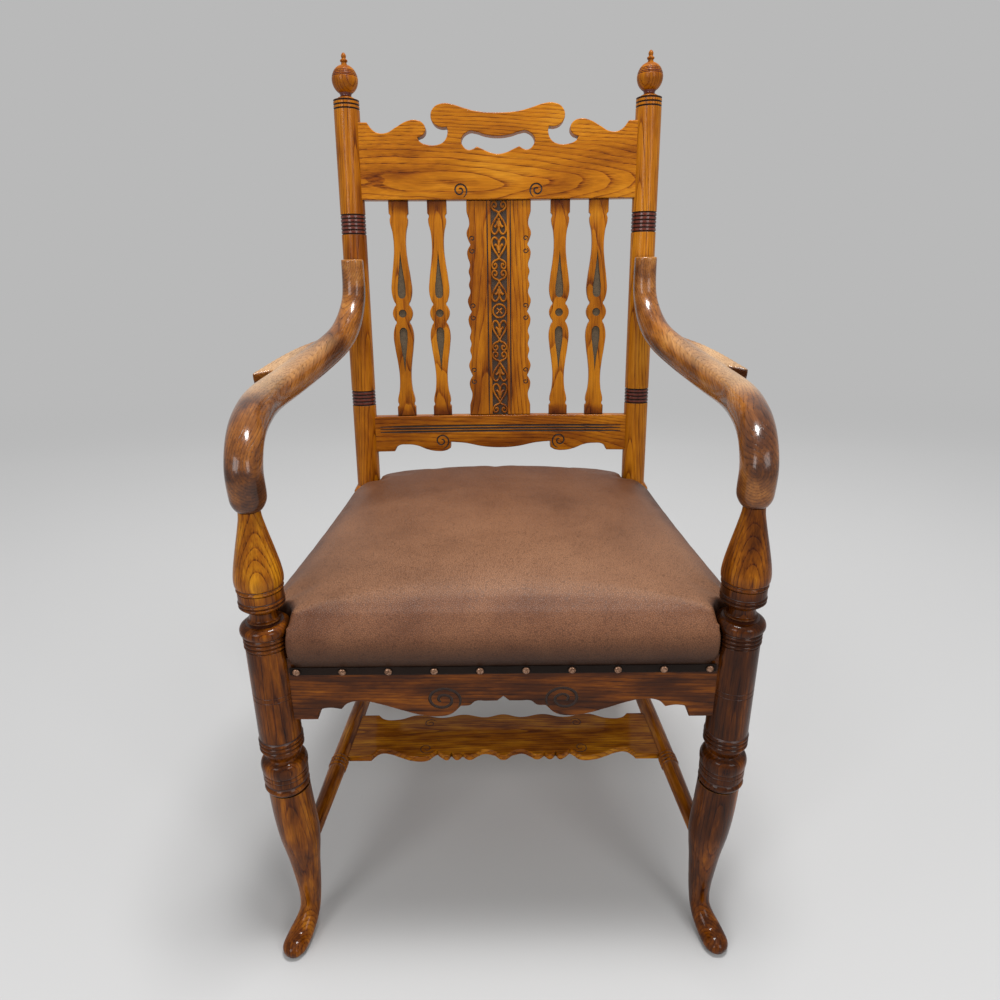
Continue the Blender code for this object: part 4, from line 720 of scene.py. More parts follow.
def grooveRows(height, width, radius, depth):
    # a small turned groove, listed from top to bottom
    half = width / 2
    return [
        (radius, height + half, 0), (radius - depth * 0.75, height + half * 0.45, 0),
        (radius - depth, height, 0), (radius - depth * 0.75, height - half * 0.45, 0),
        (radius, height - half, 0),
    ]


def fretted(name, loops, thickness, bevel, materials, resolution=8):
    # a sawn board with softened arrises, its outline in X and Z, centred on Y = 0
    curve = bpy.data.curves.new(name, "CURVE")
    curve.dimensions = "2D"
    curve.fill_mode = "BOTH"
    curve.extrude = thickness / 2 - bevel
    curve.bevel_depth = bevel
    curve.bevel_resolution = 2
    curve.offset = -bevel
    for loop in loops:
        spline = curve.splines.new("BEZIER")
        spline.resolution_u = resolution
        spline.bezier_points.add(len(loop) - 1)
        for point, (x, z, kind) in zip(spline.bezier_points, loop):
            point.co = (x, z, 0)
            point.handle_left_type = kind
            point.handle_right_type = kind
        spline.use_cyclic_u = True
    piece = pieceFromCurve(curve, materials)
    piece.data.transform(leanForward)
    bm = bmesh.new()
    bm.from_mesh(piece.data)
    bmesh.ops.remove_doubles(bm, verts=bm.verts[:], dist=0.00001)
    bmesh.ops.dissolve_limit(bm, angle_limit=0.002, verts=bm.verts[:], edges=bm.edges[:])
    bmesh.ops.recalc_face_normals(bm, faces=bm.faces[:])
    bm.to_mesh(piece.data)
    bm.free()
    return piece


def mirrored(half):
    return [(-x, z, kind) for x, z, kind in reversed(half)]


def bothSides(half):
    return half + [row for row in mirrored(half) if row[0] != 0]


def tubeCutter(name, points, radius, slotIndex):
    # a round tube along the points, tapered at its ends like a gouge cut
    curve = bpy.data.curves.new(name, "CURVE")
    curve.dimensions = "3D"
    curve.bevel_depth = radius
    curve.bevel_resolution = 3
    curve.use_fill_caps = True
    spline = curve.splines.new("POLY")
    spline.points.add(len(points) - 1)
    last = len(points) - 1
    for index, (slot, point) in enumerate(zip(spline.points, points)):
        slot.co = (*point, 1)
        slot.radius = min(1.0, 0.45 + min(index, last - index) * 0.14)
    tube = pieceFromCurve(curve, [grooveDark] * (slotIndex + 1))
    setSlot(tube, slotIndex)
    fixNormals(tube)
    return tube


def spiralLine(centre, reach, turns, startAngle, direction, squash=1.0, core=0.16, count=46):
    # a scroll that winds in from its outer end, in the plane of the board
    points = []
    for step in range(count + 1):
        share = step / count
        radius = reach * (1 - share * (1 - core))
        angle = startAngle + direction * math.tau * turns * share
        points.append((
            centre[0] + radius * math.cos(angle), centre[1] + radius * math.sin(angle) * squash
        ))
    return points


def onBothSides(line):
    return [line, [(-x, z) for x, z in line]]


def carveLines(piece, lines, face, radius, slotIndex=1):
    # cut each line as a gouged groove into the face at Y = face
    for index, line in enumerate(lines):
        points = [(x, face, z) for x, z in line]
        cutter = tubeCutter(piece.name + "Cut" + str(index), points, radius, slotIndex)
        booleanWith(piece, cutter, "DIFFERENCE")


def bowAt(x):
    return plan["bow"] * (1 - (x / postX) ** 2)


def sliceAcross(piece, spacing):
    bm = bmesh.new()
    bm.from_mesh(piece.data)
    reach = max(abs(vertex.co.x) for vertex in bm.verts)
    count = math.floor(reach / spacing)
    for index in range(-count, count + 1):
        bmesh.ops.bisect_plane(
            bm, geom=bm.verts[:] + bm.edges[:] + bm.faces[:], dist=0.00001,
            plane_co=(index * spacing, 0, 0), plane_no=(1, 0, 0),
        )
    bm.to_mesh(piece.data)
    bm.free()


def setInBack(piece):
    for vertex in piece.data.vertices:
        x, y, z = vertex.co
        vertex.co = backFrame @ Vector((x, y + bowAt(x), z))


print("tools ready")


# Back posts: a square block and swept rear leg below, a round raked post above
postLook = {
    "radius": 0.0188, "height": 0.581, "blockHalf": 0.0225, "blockBottom": 0.335,
    "footHalf": 0.016, "footSetBack": 0.069, "sides": 56, "reedPitch": 0.0054,
    "grooveDepth": 0.0014, "grooveWidth": 0.0024, "topGrooves": 0.5795, "upperReeds": 0.4236,
    "lowerReeds": 0.1576,
}
postGrooves = [
    postLook[band] - postLook["reedPitch"] * index
    for band, count in (("topGrooves", 3), ("upperReeds", 6), ("lowerReeds", 5))
    for index in range(count)
]


def rearLegY(z):
    share = max(0.0, 1 - z / postLook["blockBottom"])
    return postY + postLook["footSetBack"] * share ** 1.6


def makeBackPost():
    look = postLook
    sides = look["sides"]
    rings = []
    lowerSteps = 26
    lowerTop = look["blockBottom"] - 0.012
    across = Vector((1, 0, 0))
    deep = Vector((0, 1, 0))
    for step in range(lowerSteps + 1):
        z = lowerTop * step / lowerSteps
        half = look["footHalf"] + (look["blockHalf"] - 0.003 - look["footHalf"]) * step / lowerSteps
        half -= 0.0012 if step == 0 else 0
        rings.append(ringPoints(
            Vector((postX, rearLegY(z), z)), across, deep, half, half, 7, sides
        ))
        if step == 0:
            rings.append(ringPoints(
                Vector((postX, rearLegY(0.0012), 0.0012)), across, deep,
                look["footHalf"], look["footHalf"], 7, sides,
            ))
    blockRows = [
        (look["blockBottom"] - 0.004, look["blockHalf"] - 0.0008),
        (look["blockBottom"], look["blockHalf"]), (0.40, look["blockHalf"]),
        (plan["blockTop"] - 0.0050, look["blockHalf"]),
        (plan["blockTop"] - 0.0038, look["blockHalf"] - 0.0005),
        (plan["blockTop"] - 0.0005, look["blockHalf"] - 0.0034),
    ]
    for z, half in blockRows:
        rings.append(ringPoints(
            Vector((postX, rearLegY(z), z)), across, deep, half, half, 9, sides
        ))
    place = backFrame @ Matrix.Translation((postX, 0, 0))
    line = [(look["radius"], 0.0012, 0), (look["radius"], 0.03, 0)]
    for height in reversed(postGrooves):
        line += reversed(grooveRows(
            height, look["grooveWidth"], look["radius"], look["grooveDepth"]
        ))
    line += [
        (look["radius"], look["height"] - 0.0001, 0), (look["radius"] - 0.0008, look["height"], 0),
    ]
    upper = turnedRings([(row[0], row[1]) for row in line], place, sides)
    start = len(rings)
    rings += upper
    spans = [
        (height - look["grooveWidth"] * 0.42, height + look["grooveWidth"] * 0.42)
        for height in postGrooves
    ]
    dark = {start + row for row in bandRows(upper, place, spans)}
    bands = [
        (look[band] - count * look["reedPitch"], look[band])
        for band, count in (("upperReeds", 5), ("lowerReeds", 4))
    ]
    reeds = {start + row for row in bandRows(upper, place, bands)}
    return loftRings(
        "backPostRight", rings, [goldenOak, grooveDark, reedStain], dark, reeds - dark
    )


backPost = makeBackPost()
setWood(backPost, backFrame, (-postX + 0.030, 0.034), 0.2)
setTone(backPost, "stain", lambda place, normal: 0.13 - 0.03 * (1 - ease(place.z, 0.55, 0.95)))
finishPiece(backPost, "golden_oak", ["back_post_right"])
mirrorPiece(backPost, "backPostLeft", ["back_post_left"], -0.12)
print("back posts made")


# Finials: a ball with fine lines above its middle and an acorn tip
finialLook = {
    "ballRadius": 0.0188, "ballHeight": 0.0270, "height": 0.0625, "stretch": 1.06, "sides": 56,
    "lines": (0.0035, 0.0058, 0.0081, 0.0104), "lineDepth": 0.0008, "lineHalf": 0.0007,
}


def makeFinial():
    look = finialLook
    top = look["height"]
    rows = [
        (0.0004, top, 0), (0.0016, top - 0.0005, 0.0006), (0.0034, top - 0.0030, 0.0016),
        (0.0037, top - 0.0050, 0.0014), (0.0028, top - 0.0082, 0.0012),
        (0.0040, top - 0.0090, 0.0005), (0.0053, top - 0.0098, 0.0006),
        (0.0053, top - 0.0116, 0.0006), (0.0036, top - 0.0130, 0.0008),
        (0.0042, top - 0.0150, 0.0006),
    ]
    line = softLine(rows)
    steps = 90
    for step in range(steps + 1):
        angle = math.radians(14) + (math.pi - math.radians(14) - math.radians(28)) * step / steps
        height = math.cos(angle) * look["ballRadius"] * look["stretch"]
        radius = math.sin(angle) * look["ballRadius"]
        for mark in look["lines"]:
            away = abs(height - mark) / look["lineHalf"]
            radius -= look["lineDepth"] * max(0.0, 1 - away)
        line.append(Vector((radius, look["ballHeight"] + height)))
    line += softLine([
        (0.0092, 0.0096, 0), (0.0080, 0.0072, 0.0012), (0.0082, 0.0052, 0.0010),
        (0.0098, 0.0040, 0.0010), (0.0128, 0.0026, 0.0012), (0.0132, 0.0012, 0.0008),
        (0.0122, 0.0003, 0),
    ])
    place = backFrame @ Matrix.Translation((postX, 0, postLook["height"]))
    rings = turnedRings([(point.x, point.y) for point in line], place, look["sides"])
    spans = [
        (look["ballHeight"] + mark - 0.0006, look["ballHeight"] + mark + 0.0006)
        for mark in look["lines"]
    ]
    spans.append((0.0040, 0.0095))
    return loftRings("finialRight", rings, [goldenOak, reedStain], bandRows(rings, place, spans))


finial = makeFinial()
setWood(finial, backFrame, (-postX + 0.02, 0.025), -0.1)
setEvenTone(finial, -0.02)
finishPiece(finial, "dark_oak", ["finial_right"])
mirrorPiece(finial, "finialLeft", ["finial_left"])
print("finials made")


# Front legs: vase-shaped arm support, rings, column, rings, cabriole knee and pad foot
legLook = {"sides": 64, "columnRadius": 0.0252}


def frontLegLine():
    top = plan["supportTop"]
    column = legLook["columnRadius"]
    rows = [
        (0.0112, top, 0), (0.0119, top - 0.0006, 0), (0.0124, top - 0.0080, 0.004),
        (0.0158, top - 0.0240, 0.008), (0.0208, top - 0.0450, 0.008), (0.0254, top - 0.0660, 0.008),
        (0.0272, top - 0.0790, 0.006), (0.0266, top - 0.0862, 0.0012),
        (0.0242, top - 0.0885, 0.0006),
    ]
    rows += beadRows(top - 0.0890, top - 0.0938, 0.0243, 0.0260)
    rows += [(0.0251, top - 0.0941, 0), (0.0251, top - 0.1030, 0)]
    rows += [(0.0240, top - 0.1040, 0)]
    rows += beadRows(top - 0.1046, top - 0.1086, 0.0243, 0.0259)
    rows += beadRows(top - 0.1093, top - 0.1130, 0.0241, 0.0256)
    rows += [
        (0.0232, top - 0.1142, 0.0006), (0.0205, top - 0.1160, 0.0016),
        (0.0158, top - 0.1182, 0.0022), (0.0153, top - 0.1235, 0.002),
        (0.0162, top - 0.1282, 0.0012),
    ]
    rows += beadRows(top - 0.1290, top - 0.1328, 0.0168, 0.0190)
    rows += [
        (0.0180, top - 0.1334, 0), (0.0222, top - 0.1344, 0.0012), (0.0268, top - 0.1370, 0.0025),
        (0.0288, top - 0.1412, 0.0030), (0.0282, top - 0.1458, 0.0020),
        (0.0262, top - 0.1482, 0.0010), (0.0246, top - 0.1492, 0),
    ]
    for index in range(3):
        start = top - 0.1496 - 0.0053 * index
        rows += beadRows(start, start - 0.0047, 0.0247, 0.0264)
        rows += [(0.0242, start - 0.0050, 0)]
    rows += [(column, top - 0.1662, 0.0004)]
    for height in (0.3808, 0.3744):
        rows += grooveRows(height, 0.0012, column, 0.0005)
    rows += [(column, 0.3172, 0.0004), (0.0243, 0.3160, 0)]
    for index in range(3):
        start = 0.3154 - 0.0060 * index
        rows += beadRows(start, start - 0.0054, 0.0247, 0.0264)
        rows += [(0.0242, start - 0.0057, 0)]
    rows += [
        (0.0240, 0.2960, 0.0008), (0.0222, 0.2920, 0.0020), (0.0203, 0.2885, 0.0020),
        (0.0203, 0.2862, 0.0008), (0.0222, 0.2846, 0.0008), (0.0258, 0.2826, 0.0020),
        (0.0280, 0.2780, 0.0030), (0.0280, 0.2715, 0.0030), (0.0272, 0.2668, 0.0010),
    ]
    for height in (0.2653, 0.2592):
        rows += grooveRows(height, 0.0016, 0.0271, 0.0009)
    rows += [
        (0.0270, 0.2526, 0.0008), (0.0262, 0.2512, 0.0006), (0.0247, 0.2492, 0.0010),
        (0.0250, 0.2476, 0.0006),
    ]
    rows += beadRows(0.2470, 0.2400, 0.0256, 0.0272)
    rows += [(0.0253, 0.2388, 0)]
    return softLine(rows)


def makeFrontLeg():
    sides = legLook["sides"]
    place = Matrix.Translation((legX, legY, 0))
    rings = turnedRings([(point.x, point.y) for point in frontLegLine()], place, sides)
    top = plan["supportTop"]
    spans = [
        (top - 0.0893, top - 0.0880), (top - 0.1048, top - 0.1034), (top - 0.1095, top - 0.1085),
        (top - 0.1342, top - 0.1329), (top - 0.1494, top - 0.1486), (top - 0.1548, top - 0.1543),
        (top - 0.1601, top - 0.1595), (0.3805, 0.3811), (0.3741, 0.3747), (0.3150, 0.3166),
        (0.3093, 0.3101), (0.3033, 0.3041), (0.2973, 0.2981), (0.2648, 0.2658),
        (0.2587, 0.2597), (0.2474, 0.2504), (0.2386, 0.2398),
    ]
    dark = bandRows(rings, place, spans)
    knee = [
        (-0.0018, 0.0000, 0.2370, 0.0503, 0.0503), (-0.0022, 0.0000, 0.2240, 0.0508, 0.0508),
        (-0.0040, 0.0000, 0.1950, 0.0512, 0.0512), (-0.0070, 0.0000, 0.1620, 0.0500, 0.0500),
        (-0.0085, 0.0000, 0.1360, 0.0438, 0.0438), (-0.0090, 0.0000, 0.1140, 0.0380, 0.0380),
        (-0.0098, 0.0005, 0.0700, 0.0300, 0.0300), (-0.0086, 0.0005, 0.0440, 0.0268, 0.0276),
        (-0.0074, -0.0040, 0.0300, 0.0262, 0.0286), (-0.0040, -0.0135, 0.0195, 0.0284, 0.0290),
        (0.0015, -0.0290, 0.0117, 0.0318, 0.0260), (0.0052, -0.0450, 0.0100, 0.0310, 0.0226),
        (0.0068, -0.0535, 0.0103, 0.0222, 0.0165), (0.0074, -0.0565, 0.0105, 0.0130, 0.0105),
        (0.0076, -0.0578, 0.0105, 0.0050, 0.0042),
    ]
    rows = easedPath([
        (legX + x, legY + y, z, width, depth)
        for x, y, z, width, depth in knee
    ], 6)
    lower = sweptRings(rows, 2.0, sides, -1)
    for ring in lower:
        for point in ring:
            point.z = max(point.z, 0.0)
    return loftRings("frontLegRight", rings + lower, [darkOak, fineGroove], dark)


frontLeg = makeFrontLeg()
setWood(frontLeg, Matrix.Translation((legX, legY, 0)), (0.006, 0.046), 0.3)


def legStain(place, normal):
    # the arm support kept its golden tone, the column went dark, the foot is scuffed
    support = 0.25 * ease(place.z, 0.50, 0.53)
    column = -0.07 * ease(place.z, 0.235, 0.25)
    foot = 0.04 * (1 - ease(place.z, 0.03, 0.16))
    return support + column + foot - 0.13


setTone(frontLeg, "stain", legStain)
finishPiece(frontLeg, "dark_oak", ["front_leg_right"])
mirrorPiece(frontLeg, "frontLegLeft", ["front_leg_left"], 0.14)
print("front legs made")


# Arms: a swan neck that sweeps down and out to the hand, with a flat elbow rest grown out of it
armLook = {"sides": 44, "voxel": 0.0016, "squareness": 2.3, "wingThickness": 0.0145}


def armStations():
    top = backFrame @ Vector((postX, 0, 0.3614))
    neckY = top.y - postLook["radius"] - 0.0110
    frontY = legY
    span = neckY - frontY
    base = plan["supportTop"] + plan["fit"]
    fall = top.z - base
    x = legX - 0.001
    return [
        (postX, neckY, top.z, 0.0330, 0.0330),
        (postX, neckY - 0.0030, top.z - fall * 0.1711, 0.0340, 0.0340),
        (postX + 0.002, neckY - 0.0120, top.z - fall * 0.2824, 0.0350, 0.0350),
        (postX + 0.007, neckY - 0.0380, top.z - fall * 0.3936, 0.0380, 0.0365),
        (postX + 0.015, frontY + span * 0.823, top.z - fall * 0.4706, 0.0400, 0.0375),
        (postX + 0.034, frontY + span * 0.678, top.z - fall * 0.5434, 0.0440, 0.0380),
        (postX + 0.052, frontY + span * 0.491, top.z - fall * 0.5947, 0.0470, 0.0380),
        (legX + 0.013, frontY + span * 0.316, top.z - fall * 0.6204, 0.0450, 0.0380),
        (legX + 0.008, frontY + span * 0.164, top.z - fall * 0.6418, 0.0415, 0.0380),
        (legX + 0.002, frontY + span * 0.055, top.z - fall * 0.6931, 0.0392, 0.0385),
        (x, frontY - 0.001, top.z - fall * 0.8044, 0.0386, 0.0386),
        (x, frontY, base + 0.0160, 0.0384, 0.0384), (x, frontY, base + 0.0070, 0.0350, 0.0350),
        (x, frontY, base, 0.0270, 0.0270),
    ]


def makeArm():
    stations = armStations()
    rings = sweptRings(easedPath(stations, 8), armLook["squareness"], armLook["sides"])
    arm = loftRings("armRight", rings, [armOak])
    elbow = Vector(stations[6][:3])
    outline = [
        (-0.0390, 0.131, sharp), (-0.0230, 0.137, soft), (0.0010, 0.111, soft),
        (0.0200, 0.072, soft), (0.0335, 0.031, soft), (0.0445, -0.009, sharp),
        (0.0225, 0.005, sharp), (0.0070, 0.001, sharp), (-0.0120, 0.056, sharp),
    ]
    wing = fretted("armWing", [outline], armLook["wingThickness"], 0.0012, [armOak])
    wing.data.transform(leanForward.inverted())
    rise = 0.013 - armLook["wingThickness"] / 2
    wing.data.transform(
        Matrix.Translation(elbow + Vector((0, 0, rise)))
        @ Matrix.Rotation(math.atan(0.165), 4, "X")
    )
    fixNormals(wing)
    booleanWith(arm, wing, "UNION")
    remesh = arm.modifiers.new("blend", "REMESH")
    remesh.mode = "VOXEL"
    remesh.voxel_size = armLook["voxel"]
    remesh.use_smooth_shade = True
    smooth = arm.modifiers.new("rub", "SMOOTH")
    smooth.factor = 0.5
    smooth.iterations = 6
    bakeModifiers(arm)
    post = loftRings("postSpace", turnedRings(
        [(postLook["radius"] + plan["fit"], height) for height in (0.0, postLook["height"])],
        backFrame @ Matrix.Translation((postX, 0, 0)), 64,
    ), [armOak])
    booleanWith(arm, post, "DIFFERENCE")
    return arm


arm = makeArm()
# the arm is sawn from a plank that leans with the line from its neck to its hand
armPlank = Matrix.Translation((legX, -0.02, 0.70)) @ Matrix.Rotation(math.radians(-68), 4, "X")
setWood(arm, armPlank, (0.010, 0.040), 0.1)


def armStain(place, normal):
    neck = 0.03 * ease(place.z, 0.70, 0.78)
    bend = -0.06 * (1 - ease(place.y, -0.17, -0.11))
    hand = -0.08 * (1 - ease(place.z, 0.63, 0.68))
    # painted light from above: faces that look up are a little lighter, faces that look down a
    # little darker
    return neck + bend + hand + 0.04 * normal.z + 0.03


# the up-facing tops near the elbow are rubbed pale and carry a painted sheen
def armRubAndSheen(place, normal):
    reach = ease(place.y, -0.17, -0.09) * (1 - ease(place.y, 0.06, 0.12))
    top = ease(normal.z, 0.45, 0.95)
    return top * reach * (0.50 + 0.50 * ease(place.x, 0.262, 0.290))


setTone(arm, "stain", armStain)
setTone(arm, "rub", armRubAndSheen)
finishPiece(arm, "arm_oak", ["arm_right"], 50)
mirrorPiece(arm, "armLeft", ["arm_left"])
print("arms made")


# Crest rail: scrolled top, a handhold slot and two small spirals over the slats
crestLook = {"thickness": 0.021, "bevel": 0.0016, "endHeight": 0.106, "grooveRadius": 0.0013}


def makeCrestRail():
    low = plan["crestBottom"]
    top = low + crestLook["endHeight"]
    end = postX - 0.0060
    outline = [
        (-end, low, sharp), (-end, top, sharp), (-0.1930, top, sharp),
        (-0.1865, top - 0.0084, soft), (-0.1780, top - 0.0136, soft), (-0.1647, top - 0.0136, soft),
        (-0.1515, top - 0.0066, soft), (-0.1344, top + 0.0021, soft), (-0.1212, top + 0.0038, soft),
        (-0.1110, top - 0.0004, soft), (-0.1072, top - 0.0084, soft), (-0.1107, top - 0.0163, soft),
        (-0.1193, top - 0.0203, sharp), (-0.1165, top - 0.0250, soft),
        (-0.1060, top - 0.0294, soft), (-0.0890, top - 0.0294, soft), (-0.0795, top - 0.0241, soft),
        (-0.0748, top - 0.0136, soft), (-0.0757, top - 0.0058, sharp),
        (-0.0843, top - 0.0062, soft), (-0.0947, top - 0.0014, soft), (-0.0992, top + 0.0086, soft),
        (-0.0947, top + 0.0200, soft), (-0.0815, top + 0.0258, soft), (-0.0683, top + 0.0250, soft),
        (-0.0493, top + 0.0196, soft), (-0.0303, top + 0.0152, soft), (0, top + 0.0134, soft),
    ]
    upper = [
        (-0.0545, top - 0.0230, soft), (-0.0430, top - 0.0117, soft), (-0.0330, top - 0.0122, soft),
        (-0.0190, top - 0.0162, soft), (0, top - 0.0182, soft),
    ]
    lower = [
        (0, top - 0.0424, soft), (-0.0120, top - 0.0404, soft), (-0.0240, top - 0.0354, soft),
        (-0.0318, top - 0.0322, sharp), (-0.0375, top - 0.0356, soft),
        (-0.0450, top - 0.0366, soft), (-0.0520, top - 0.0316, soft),
    ]
    slot = upper + mirrored(upper[:-1]) + mirrored(lower[1:]) + lower
    rail = fretted(
        "crestRail", [bothSides(outline), slot], crestLook["thickness"], crestLook["bevel"],
        [goldenOak, grooveDark],
    )
    line = spiralLine((-0.0582, low + 0.0132), 0.0112, 1.55, math.radians(-62), 1)
    carveLines(rail, onBothSides(line), -crestLook["thickness"] / 2, crestLook["grooveRadius"])
    sliceAcross(rail, 0.008)
    setInBack(rail)
    return rail


crestRail = makeCrestRail()
setWood(crestRail, backFrame @ woodAcross, (0.470, -0.052), 0.33)
setTone(crestRail, "stain", lambda place, normal: 0.08 * ease(place.x, -0.20, 0.0) - 0.02)
finishPiece(crestRail, "golden_oak", ["crest_rail"], 32, True)
print("crest rail made")


# Lower back rail: reeded lines near its top, a shaped lower edge and two spirals
lowerRailLook = {
    "bottom": 0.0562, "height": 0.0592, "thickness": 0.019, "bevel": 0.0014,
    "lines": (0.0985, 0.0940, 0.0895), "lineRadius": 0.0017, "spiralX": 0.0972, "spiralZ": 0.0732,
}


def makeLowerBackRail():
    look = lowerRailLook
    low = look["bottom"]
    top = low + look["height"]
    end = postX - 0.0060
    outline = [
        (-end, top, sharp), (-end, low + 0.0010, sharp), (-0.1751, low + 0.0010, sharp),
        (-0.1695, low + 0.0098, soft), (-0.1536, low + 0.0120, soft), (-0.1377, low + 0.0098, soft),
        (-0.1220, low + 0.0034, soft), (-0.1063, low, soft), (-0.0902, low + 0.0010, soft),
        (-0.0828, low + 0.0050, sharp), (-0.0824, low + 0.0152, sharp),
        (-0.0586, low + 0.0130, soft), (-0.0268, low + 0.0066, soft), (0, low + 0.0049, soft),
    ]
    rail = fretted(
        "lowerBackRail", [bothSides(outline)], look["thickness"], look["bevel"],
        [goldenOak, grooveDark, reedStain],
    )
    face = -look["thickness"] / 2
    for height in look["lines"]:
        line = [(-0.197 + 0.394 * step / 40, height) for step in range(41)]
        carveLines(rail, [line], face, look["lineRadius"], 2)
    line = spiralLine((-look["spiralX"], look["spiralZ"]), 0.0128, 1.5, math.radians(-80), 1)
    carveLines(rail, onBothSides(line), face, 0.0013)
    sliceAcross(rail, 0.008)
    setInBack(rail)
    return rail


lowerBackRail = makeLowerBackRail()
setWood(lowerBackRail, backFrame @ woodAcross, (0.050, -0.035), 1.4)
setEvenTone(lowerBackRail, -0.05)
finishPiece(lowerBackRail, "golden_oak", ["lower_back_rail"], 32, True)
print("lower back rail made")


# Slats: fretted alike above and below a round middle, with sunk drops and a sunk disc
slatLook = {
    "thickness": 0.010, "bevel": 0.0012, "length": 0.3293, "recessDepth": 0.0024,
    "endWidth": 0.0148, "endHeight": 0.1480, "disc": 0.0061,
}


def recessCutter(name, loop, face, depth, ground):
    cutter = fretted(name, [loop], depth * 2, 0.0001, [goldenOak, ground], 10)
    cutter.data.transform(Matrix.Translation((0, face, 0)))
    setSlot(cutter, 1)
    return cutter


def makeSlat(name, x, node, seed):
    look = slatLook
    top = plan["crestBottom"] - plan["fit"]
    bottom = plan["crestBottom"] - look["length"] + plan["fit"]
    middle = plan["crestBottom"] - look["length"] / 2 - 0.0018
    widths = [
        (0.0156, 0.0000), (0.0128, 0.0095), (0.0102, 0.0136), (0.0126, 0.0185),
        (0.0158, 0.0325), (0.0145, 0.0520), (0.0109, 0.0780), (0.0092, 0.0980),
        (0.0103, 0.1200), (0.0138, 0.1392), (0.0125, 0.1445),
    ]
    right = [(look["endWidth"], top, sharp), (look["endWidth"], middle + look["endHeight"], sharp)]
    right += [(width, middle + rise, soft) for width, rise in reversed(widths)]
    right += [(width, middle - rise, soft) for width, rise in widths[1:]]
    right += [
        (look["endWidth"], middle - look["endHeight"], sharp), (look["endWidth"], bottom, sharp)
    ]
    loop = [(x + width, z, kind) for width, z, kind in right + mirrored(right)]
    slat = fretted(
        name, [loop], look["thickness"], look["bevel"], [goldenOak, recessGround], 5
    )
    face = -look["thickness"] / 2
    drops = []
    for sign, apex, widest, base in ((1, 0.0956, 0.0350, 0.0228), (-1, 0.0930, 0.0350, 0.0216)):
        side = [
            (0.0000, apex, sharp), (0.0022, apex - 0.0240, soft), (0.0048, widest + 0.0160, soft),
            (0.0062, widest, soft), (0.0044, base + 0.0022, soft), (0.0000, base, soft),
        ]
        drops.append([
            (x + width, middle + sign * rise, kind)
            for width, rise, kind in side + mirrored(side[1:-1])
        ])
    disc = [
        (x + look["disc"] * math.cos(math.tau * step / 8),
         middle + look["disc"] * math.sin(math.tau * step / 8), soft)
        for step in range(8)
    ]
    for index, hole in enumerate([*drops, disc]):
        booleanWith(
            slat,
            recessCutter("recess" + str(index), hole, face, look["recessDepth"], recessGround),
            "DIFFERENCE",
        )
    setInBack(slat)
    setWood(slat, backFrame, (-x + 0.004 * seed - 0.006, 0.030 + 0.004 * seed), 0.37 * seed)
    inverse = backFrame.inverted()
    setTone(slat, "stain", lambda place, normal: 0.05 - 0.30 * ease(
        abs((inverse @ place).z - middle), look["endHeight"] - 0.004, look["endHeight"] + 0.006
    ))
    finishPiece(slat, "golden_oak", [node], 32, True)


for index, (x, node) in enumerate((
    (-0.153, "slat_outer_left"), (-0.0945, "slat_inner_left"),
    (0.0945, "slat_inner_right"), (0.153, "slat_outer_right"),
)):
    words = node.split("_")
    makeSlat(words[0] + words[1].title() + words[2].title(), x, node, index)
print("slats made")


# Centre splat: scrolled edges and a sunk strip with carved hearts, spades and a rose
splatLook = {
    "thickness": 0.013, "bevel": 0.0014, "length": 0.3293, "stripHalf": 0.0125,
    "filletHalf": 0.0178, "sunk": 0.0022, "unit": 0.0500, "rose": 0.0250,
    "strand": 0.00165, "scrolls": (0.3892, 0.3712, 0.2887, 0.2707, 0.1882, 0.1702),
    "pairPitch": 0.1005, "roseReach": 0.0102, "lineRadius": 0.0011, "scrollX": 0.0412,
    "scrollRadius": 0.0009, "block": 0.0493, "waist": 0.0454, "bump": 0.0476,
}


def strandPiece(name, points, radius, cyclic=False):
    curve = bpy.data.curves.new(name, "CURVE")
    curve.dimensions = "3D"
    curve.bevel_depth = radius
    curve.bevel_resolution = 2
    curve.use_fill_caps = True
    spline = curve.splines.new("BEZIER")
    spline.resolution_u = 5
    spline.bezier_points.add(len(points) - 1)
    for slot, point in zip(spline.bezier_points, points):
        slot.co = point
        slot.handle_left_type = "AUTO"
        slot.handle_right_type = "AUTO"
    spline.use_cyclic_u = cyclic
    piece = pieceFromCurve(curve, [goldenOak])
    fixNormals(piece)
    return piece


def unitStrands(middle, sign, level):
    # one heart with its tail curls; sign 1 puts the lobes at the bottom and the point up
    half = splatLook["unit"] / 2
    wide = splatLook["stripHalf"]
    strands = []
    for side in (-1, 1):
        heart = [
            (0.03, -0.60), (0.22, -0.80), (0.50, -0.90), (0.80, -0.80), (0.89, -0.58),
            (0.74, -0.32), (0.44, -0.06), (0.14, 0.16), (0.03, 0.30), (0.20, 0.40), (0.56, 0.48),
            (0.82, 0.62), (0.86, 0.80), (0.66, 0.94), (0.38, 0.90), (0.30, 0.74), (0.46, 0.64),
            (0.60, 0.74),
        ]
        strands.append([
            (side * x * wide, level, middle + sign * y * half) for x, y in heart
        ])
    petals = []
    for side in (-1, 1):
        petals.append([
            (side * 0.06 * wide, level, middle + sign * -0.16 * half),
            (side * 0.22 * wide, level, middle + sign * -0.38 * half),
            (side * 0.50 * wide, level, middle + sign * -0.50 * half),
        ])
    petals.append([
        (0, level, middle + sign * -0.62 * half), (0, level, middle + sign * -0.30 * half),
        (0, level, middle + sign * 0.02 * half),
    ])
    return strands, petals


def joinPieces(target, others):
    bm = bmesh.new()
    bm.from_mesh(target.data)
    for other in others:
        bm.from_mesh(other.data)
    bm.to_mesh(target.data)
    bm.free()
    for other in others:
        bpy.data.objects.remove(other, do_unlink=True)


